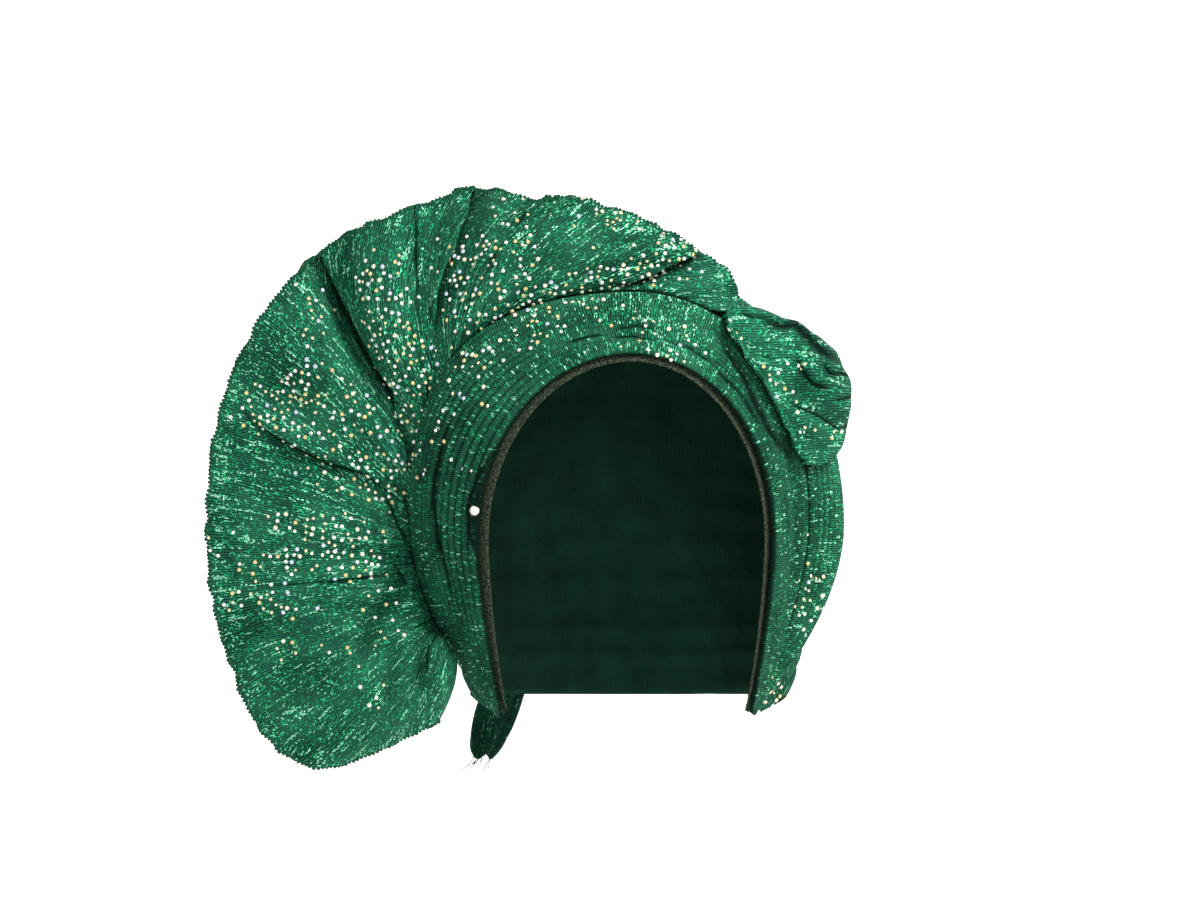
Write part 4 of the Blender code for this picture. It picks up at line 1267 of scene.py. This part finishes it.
tail_z = knot_bottom - SEAT_GAP - TAIL_LENGTH * tail_share
tail_z = tail_z - RAW_END_WAVE * tail_share**6 * np.cos(3 * round_tail)
tail_points = np.stack([tail_x, tail_y, tail_z], -1)
tail_points = raised_clear(tail_points, [wrap_outside], (0, 1, 0), 4 * SEAT_GAP)
tail_u = grid_lengths(tail_points, 1)[40]
tail_v = grid_lengths(tail_points, 0)
tail = cloth_from_grid(
    "tie_tail_cloth", tail_points, tail_u, tail_v, TAIL_WALL, pleat_finish, None, TAIL_SHADE
)
print("tail:", round(TAIL_LENGTH * 1000), "mm long")

# %% [markdown]
# ## The pearl pin
#
# A dressmaker's pin with a pearl head lies beside the band's hem, over the sheer edge. Pin and
# pearl are one turned profile, spun round the pin's own axis with a finer step than the solid has.

# %% Pearl pin
PEARL_DIAMETER = 0.0042
PIN_DIAMETER = 0.0009
PIN_LENGTH = 0.0115
PIN_CLEARANCE = 0.00035
PIN_STATION = 0.024
PIN_TURN = -0.62
PEARL_RINGS = 30
PIN_SIDES = 32

head_lift = BAND_FLOOR + BAND_WALL + PEARL_DIAMETER / 2
shank_lift = BAND_FLOOR - SEAT_GAP + PIN_CLEARANCE + PIN_DIAMETER / 2
pearl_at = on_head(PIN_STATION, PIN_TURN, head_lift)
small = 0.01
pace = np.linalg.norm(on_head(PIN_STATION, PIN_TURN - small, head_lift) - pearl_at)
pin_foot = on_head(PIN_STATION, PIN_TURN - small * PIN_LENGTH / pace, shank_lift)
pin_axis = Vector(pin_foot - pearl_at).normalized()
ball = PEARL_DIAMETER / 2
profile = [(-ball * math.cos(t), ball * math.sin(t)) for t in np.radians(np.linspace(0.5, 166, PEARL_RINGS))]
profile += [(ball * 1.02, PIN_DIAMETER / 2), (PIN_LENGTH * 0.93, PIN_DIAMETER / 2), (PIN_LENGTH, 0.00002)]
pin_side = pin_axis.orthogonal().normalized()
pin_other = pin_axis.cross(pin_side)
pin_data = bmesh.new()
loops = [
    [
        pin_data.verts.new(
            Vector(pearl_at) + pin_axis * along + (pin_side * math.cos(t) + pin_other * math.sin(t)) * radius
        )
        for t in np.linspace(0, 2 * math.pi, PIN_SIDES, endpoint=False)
    ]
    for along, radius in profile
]
for ring_index, (near, far) in enumerate(zip(loops, loops[1:])):
    for j in range(PIN_SIDES):
        after = (j + 1) % PIN_SIDES
        face = pin_data.faces.new((near[j], near[after], far[after], far[j]))
        # The pearl's own rings come first, then the steel.
        face.material_index = int(ring_index >= PEARL_RINGS - 1)
        face.smooth = True
pin_data.faces.new(reversed(loops[0]))
pin_data.faces.new(loops[-1])
bmesh.ops.recalc_face_normals(pin_data, faces=pin_data.faces)
pin_mesh = bpy.data.meshes.new("pearl_pin_fine")
pin_data.to_mesh(pin_mesh)
pearl_pin = bpy.data.objects.new("pearl_pin_fine", pin_mesh)
bpy.context.scene.collection.objects.link(pearl_pin)
pin_mesh.materials.append(pearl_finish)
pin_mesh.materials.append(steel_finish)
print("pearl:", round(PEARL_DIAMETER * 1000, 1), "mm")

# %% [markdown]
# ## What repeats: Geometry Nodes
#
# The rim's beads, the ladder stitches and the rhinestones repeat hundreds of times, so node trees
# place them, and another gives the tail's loose threads their thickness. Each tree takes its sizes
# as named inputs, and ends by making its copies real and giving them a finish. The result is kept
# as a plain mesh, because an export drops instances.

# %% Growing a mesh
def new_tree(name, inputs):
    """An empty Geometry Nodes tree with named inputs, its way in and its way out."""
    tree = bpy.data.node_groups.new(name, "GeometryNodeTree")
    tree.interface.new_socket("Geometry", in_out="INPUT", socket_type="NodeSocketGeometry")
    for label, kind in inputs:
        tree.interface.new_socket(label, in_out="INPUT", socket_type="NodeSocket" + kind)
    tree.interface.new_socket("Geometry", in_out="OUTPUT", socket_type="NodeSocketGeometry")
    return tree, add(tree, "NodeGroupInput"), add(tree, "NodeGroupOutput")


def grown(name, base, tree, values):
    """A plain mesh object that the tree grows on a base mesh."""
    base_object = bpy.data.objects.new(name + "_base", base)
    bpy.context.scene.collection.objects.link(base_object)
    modifier = base_object.modifiers.new("grow", "NODES")
    modifier.node_group = tree
    sockets = {item.name: item.identifier for item in tree.interface.items_tree if item.in_out == "INPUT"}
    for label, value in values.items():
        modifier[sockets[label]] = value
    graph = bpy.context.evaluated_depsgraph_get()
    mesh = bpy.data.meshes.new_from_object(base_object.evaluated_get(graph))
    mesh.name = name
    made = bpy.data.objects.new(name, mesh)
    bpy.context.scene.collection.objects.link(made)
    bpy.data.objects.remove(base_object)
    mesh.calc_loop_triangles()
    print(name + ":", len(mesh.loop_triangles), "triangles")
    return made


def random_share(tree, given, low, high):
    """A random number for each copy, drawn with the tree's own seed."""
    settings = {"data_type": "FLOAT", "2": low, "3": high}
    return add(tree, "FunctionNodeRandomValue", settings, Seed=given.outputs["Seed"]).outputs[1]


def finish_tree(tree, given, result, shape):
    """Makes a tree's copies real, gives them its finish and lets them out."""
    real = add(tree, "GeometryNodeRealizeInstances", Geometry=shape)
    finish = given.outputs["Finish"]
    finished = add(tree, "GeometryNodeSetMaterial", Geometry=real.outputs[0], Material=finish)
    tree.links.new(finished.outputs[0], result.inputs[0])


def mesh_line(name, points):
    """A mesh of edges through points."""
    mesh = bpy.data.meshes.new(name)
    mesh.from_pydata(points.tolist(), [(i, i + 1) for i in range(len(points) - 1)], [])
    return mesh


# %% Beads along a path
tree, given, result = new_tree(
    "beads_along_path", (("Pitch", "Float"), ("Size", "Vector"), ("Seed", "Int"), ("Finish", "Material"))
)
path = add(tree, "GeometryNodeMeshToCurve", Mesh=given.outputs["Geometry"])
paced = add(
    tree, "GeometryNodeResampleCurve", {"mode": "LENGTH"},
    Curve=path.outputs[0], Length=given.outputs["Pitch"],
)
ball = add(tree, "GeometryNodeMeshIcoSphere", {"Radius": 0.5, "Subdivisions": 2})
round_ball = add(tree, "GeometryNodeSetShadeSmooth", Geometry=ball.outputs[0])
tangent = add(tree, "GeometryNodeInputTangent")
facing = add(tree, "FunctionNodeAlignRotationToVector", {"axis": "X"}, Vector=tangent.outputs[0])
vary = random_share(tree, given, 0.85, 1.15)
size = add(tree, "ShaderNodeVectorMath", {"operation": "SCALE"}, i0=given.outputs["Size"], Scale=vary)
copies = add(
    tree, "GeometryNodeInstanceOnPoints",
    Points=paced.outputs[0], Instance=round_ball.outputs[0],
    Rotation=facing.outputs[0], Scale=size.outputs[0],
)
finish_tree(tree, given, result, copies.outputs[0])
bead_tree = tree

# %% Rim beads and stitches
RIM_PITCH = 0.0019
BEAD_SIZE = (0.0018, 0.0026, 0.0026)
STITCH_PITCH = 0.0013
STITCH_SIZE = (0.0004, 0.0011, 0.0010)

rim_beads = grown(
    "fan_rim_beads", mesh_line("rim", fan_points[-1]), bead_tree,
    {"Pitch": RIM_PITCH, "Size": BEAD_SIZE, "Seed": 3, "Finish": thread_finish},
)
edge_stitches = grown(
    "edge_stitches", mesh_line("stitches", edge_points[STITCH_ROW]), bead_tree,
    {"Pitch": STITCH_PITCH, "Size": STITCH_SIZE, "Seed": 4, "Finish": thread_finish},
)

# %% Loose threads of the tail
THREADS = 9
THREAD_LENGTH = 0.010
THREAD_RADIUS = 0.00016

tree, given, result = new_tree("threads", (("Radius", "Float"), ("Finish", "Material")))
path = add(tree, "GeometryNodeMeshToCurve", Mesh=given.outputs["Geometry"])
section = add(tree, "GeometryNodeCurvePrimitiveCircle", {"Resolution": 6}, Radius=given.outputs["Radius"])
tube = add(tree, "GeometryNodeCurveToMesh", {"Fill Caps": True}, Curve=path.outputs[0], i1=section.outputs[0])
finish_tree(tree, given, result, tube.outputs[0])

draw = np.random.default_rng(51)
down = np.linspace(0, 1, 12)[:, None]
thread_lines = bpy.data.meshes.new("thread_lines")
places, edges = [], []
for start in tail_points[-2, draw.integers(0, 180, THREADS)]:
    sway = draw.uniform(-1, 1, 2) * (0.45, 0.25)
    reach = THREAD_LENGTH * draw.uniform(0.35, 1.0)
    bend = np.concatenate([sway[0] * down - 0.4 * down, sway[1] * down**2, -down + 0.25 * down**3], 1)
    edges += [(len(places) + i, len(places) + i + 1) for i in range(len(down) - 1)]
    places += (start + reach * bend).tolist()
thread_lines.from_pydata(places, edges, [])
tail_threads = grown("tail_threads", thread_lines, tree, {"Radius": THREAD_RADIUS, "Finish": thread_finish})

# %% [markdown]
# ## Rhinestones
#
# About nine hundred flat-backed stones are glued to the cloth in loose clusters. A short table
# holds the clusters as strokes seen from the front: each runs between two places, with a width
# and a density. Every cloth stores how dense its stones are at each point, and one node tree
# spreads them with a least distance, as a person with a glue pen would.

# %% Clusters of stones
STONE = 0.0019
STONE_GAP = 0.0025
STONES_PER_SQUARE_METRE = 140000.0

# Places in millimetres from the front, right and up from the origin.
CLUSTER_COLUMN_NAMES = ("cloth", "right", "up", "to_right", "to_up", "width", "density")
CLUSTERS = (
    # fan: down between the two upper creases
    ("fan", -107, -2, -90, -70, 12, 1.00),
    ("fan", -100, -4, -92, -60, 8, 0.60),
    # right of the second crease
    ("fan", -73, 4, -64, -32, 13, 0.85),
    ("fan", -58, 6, -44, -11, 13, 1.00),
    ("fan", -52, 26, -44, 10, 9, 0.40),
    # upper left
    ("fan", -142, -14, -134, -46, 9, 0.42),
    ("fan", -166, -62, -138, -50, 11, 0.80),
    ("fan", -130, -54, -112, -70, 10, 0.70),
    # above and below the long crease
    ("fan", -140, -106, -116, -108, 5, 0.55),
    ("fan", -150, -66, -104, -84, 8, 0.75),
    ("fan", -142, -86, -106, -98, 6, 0.75),
    # along the root
    ("fan", -101, -54, -99, -92, 5, 0.80),
    # rows on the side
    ("fan", -154, -110, -114, -114, 7, 0.85),
    ("fan", -150, -124, -114, -126, 7, 0.95),
    # by the low corner
    ("fan", -178, -118, -160, -126, 7, 0.60),
    ("fan", -172, -140, -144, -144, 7, 0.65),
    # down the lobe by the jaw
    ("fan", -110, -138, -106, -156, 7, 0.50),
    ("fan", -150, -164, -132, -162, 5, 0.35),
    ("fan", -118, -170, -108, -182, 7, 0.45),
    # along the valley towards the rosette
    ("fan", -58, -24, 26, 10, 9, 1.00),
    ("fan", -22, 20, 18, 22, 9, 0.35),
    # band: over the brow
    ("band", -39, -16, 26, -34, 9, 0.75),
    ("band", -70, -42, -40, -26, 8, 0.55),
    ("band", -82, -60, -68, -52, 8, 0.35),
    # band: beside the fan
    ("band", -95, -56, -92, -90, 4, 0.60),
    ("band", -82, -74, -70, -84, 5, 0.35),
    # wrap: right side
    ("wrap", 63, -119, 86, -158, 10, 0.55),
    ("wrap", 52, -160, 62, -188, 8, 0.40),
    # rosette: a few singles
    ("rosette", 40, -23, 45, -29, 3, 0.70),
    ("rosette", 58, -43, 75, -41, 4, 0.45),
    ("rosette", 64, -52, 72, -56, 4, 0.45),
    ("rosette", 60, -64, 78, -69, 4, 0.45),
    ("rosette", 88, -70, 91, -71, 3, 0.55),
)


def stone_field(cloth, points, lift):
    """A bare mesh of a cloth's outside, which stores how dense the stones are at each point."""
    normal = np.cross(np.gradient(points, axis=0), np.gradient(points, axis=1))
    normal /= np.maximum(np.linalg.norm(normal, axis=-1, keepdims=True), 1e-12)
    if normal[..., 1].mean() > 0:
        normal = -normal
    front = normal[..., 1] < -0.15
    place = points + normal * lift
    density = np.zeros(points.shape[:2])
    for values in CLUSTERS:
        row = dict(zip(CLUSTER_COLUMN_NAMES, values))
        if row["cloth"] != cloth:
            continue
        start = np.array([row["right"], row["up"]]) / 1000
        run = np.array([row["to_right"], row["to_up"]]) / 1000 - start
        offset = place[..., [0, 2]] - start
        along = np.clip(offset @ run / (run @ run), 0, 1)
        off = np.linalg.norm(offset - along[..., None] * run, axis=-1)
        density = np.maximum(density, row["density"] * np.exp(-((off * 1000 / row["width"]) ** 4)))
    quads = grid_quads(points)
    if np.cross(points[1, 0] - points[0, 0], points[0, 1] - points[0, 0]) @ normal[0, 0] > 0:
        quads = quads[:, ::-1]
    mesh = bpy.data.meshes.new(cloth + "_stones")
    mesh.from_pydata(place.reshape(-1, 3).tolist(), [], quads.tolist())
    chance = mesh.attributes.new("stone_chance", "FLOAT", "POINT")
    chance.data.foreach_set("value", (density * front).astype(np.float32).reshape(-1))
    return mesh


# %% One stone
def cut_stone():
    """A flat-backed stone one unit across: table, eight crown facets, girdle and base."""
    stone = bmesh.new()
    heights = ((0.30, 0.42), (0.50, 0.16), (0.50, 0.04), (0.40, 0.0))
    loops = [
        [
            stone.verts.new((radius * math.cos(t), radius * math.sin(t), height))
            for t in np.linspace(0, 2 * math.pi, 8, endpoint=False)
        ]
        for radius, height in heights
    ]
    for high, low in zip(loops, loops[1:]):
        for j in range(8):
            stone.faces.new((high[j], low[j], low[(j + 1) % 8], high[(j + 1) % 8]))
    stone.faces.new(loops[0])
    stone.faces.new(reversed(loops[-1]))
    bmesh.ops.recalc_face_normals(stone, faces=stone.faces)
    mesh = bpy.data.meshes.new("stone")
    stone.to_mesh(mesh)
    made = bpy.data.objects.new("one_stone", mesh)
    bpy.context.scene.collection.objects.link(made)
    return made


# %% Stones over a field
tree, given, result = new_tree(
    "stones_over_cloth",
    (
        ("Stone", "Object"), ("Size", "Float"), ("Least distance", "Float"), ("Density", "Float"),
        ("Seed", "Int"), ("Finish", "Material"),
    ),
)
chance = add(tree, "GeometryNodeInputNamedAttribute", {"data_type": "FLOAT", "Name": "stone_chance"})
spread = add(
    tree, "GeometryNodeDistributePointsOnFaces", {"distribute_method": "POISSON"},
    Mesh=given.outputs["Geometry"], Distance_Min=given.outputs["Least distance"],
    Density_Max=given.outputs["Density"], Density_Factor=chance.outputs[0], Seed=given.outputs["Seed"],
)
template = add(tree, "GeometryNodeObjectInfo", Object=given.outputs["Stone"])
size = calc(tree, "MULTIPLY", given.outputs["Size"], random_share(tree, given, 0.72, 1.12))
copies = add(
    tree, "GeometryNodeInstanceOnPoints",
    Points=spread.outputs["Points"], Instance=template.outputs["Geometry"],
    Rotation=spread.outputs["Rotation"], Scale=size,
)
tinted = add(
    tree, "GeometryNodeStoreNamedAttribute",
    {"data_type": "FLOAT", "domain": "INSTANCE", "Name": "stone_tint"},
    Geometry=copies.outputs[0], Value=random_share(tree, given, 0.0, 1.0),
)
finish_tree(tree, given, result, tinted.outputs[0])
stone_tree = tree

one_stone = cut_stone()
STONE_FIELDS = (
    ("fan", fan_points[::2, ::2], FAN_WALL / 2, 8),
    ("band", band_points[::2, ::2], BAND_WALL / 2, 9),
    ("wrap", wrap_points[::2, ::2], WRAP_WALL / 2, 10),
    ("rosette", rosette_points[:90:2, ::2], ROSETTE_WALL / 2, 11),
)
stones = []
for cloth, points, lift, seed in STONE_FIELDS:
    field = stone_field(cloth, points, lift)
    values = {
        "Stone": one_stone, "Size": STONE, "Least distance": STONE_GAP,
        "Density": STONES_PER_SQUARE_METRE, "Seed": seed, "Finish": crystal_finish,
    }
    stones.append(grown("rhinestones_" + cloth, field, stone_tree, values))
bpy.data.objects.remove(one_stone)

# %% [markdown]
# ## Each piece on the body
#
# Each cloth replaces its plain solid and rides on the body. A sheet also says how large it was
# cut. One gele is about 1.8 m by 0.9 m; each cut here is the share of it that the piece takes
# up, measured on the real object's scale and rounded.

# %% Pieces and sheets
PIECES = (
    # piece, the solid that it replaces, finish
    (wrap_cloth, "head_wrap", "ribbed_cloth"),
    (band_cloth, "brow_band", "ribbed_cloth"),
    (edge_strip, "sheer_edge", "sheer_edge"),
    (fan_cloth, "fan", "ribbed_cloth"),
    (rosette_cloth, "rosette", "ribbed_cloth"),
    (knot, "nape_knot", "ribbed_cloth"),
    (tail, "tie_tail", "ribbed_cloth"),
    (pearl_pin, "pearl_pin", "pearl"),
    (rim_beads, None, "ribbed_cloth"),
    (edge_stitches, None, "sheer_edge"),
    (tail_threads, None, "ribbed_cloth"),
    *((piece, None, "pearl") for piece in stones),
)
for piece, node, finish in PIECES:
    if node:
        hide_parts(node)
    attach(piece, "root")

SHEETS = (
    # piece, cut, how it is held, what it rests on, what is on it
    (wrap_cloth, (0.40, 0.27), "stretched", ["head_seat"], [stones[2]]),
    (band_cloth, (0.44, 0.110), "folded", ["wrap_cloth"], [stones[1]]),
    (edge_strip, (0.40, 0.010), "laid", ["band_cloth"], [edge_stitches]),
    (fan_cloth, (0.56, 0.090), "gathered", ["wrap_cloth"], [rim_beads, stones[0]]),
    (rosette_cloth, (0.10, 0.080), "folded", ["band_cloth"], [stones[3]]),
    (tail, (0.045, 0.045), "gathered", ["nape_knot_cloth"], [tail_threads]),
)


def one_layer(piece):
    """The area of a piece's mesh, before it gets its wall."""
    return sum(face.area for face in piece.data.polygons)


for piece, cut, held, rests_on, with_pieces in SHEETS:
    areas = round(one_layer(piece), 5), round(cut[0] * cut[1], 5)
    print(piece.name, "covers", areas[0], "of its", areas[1], "square metres")
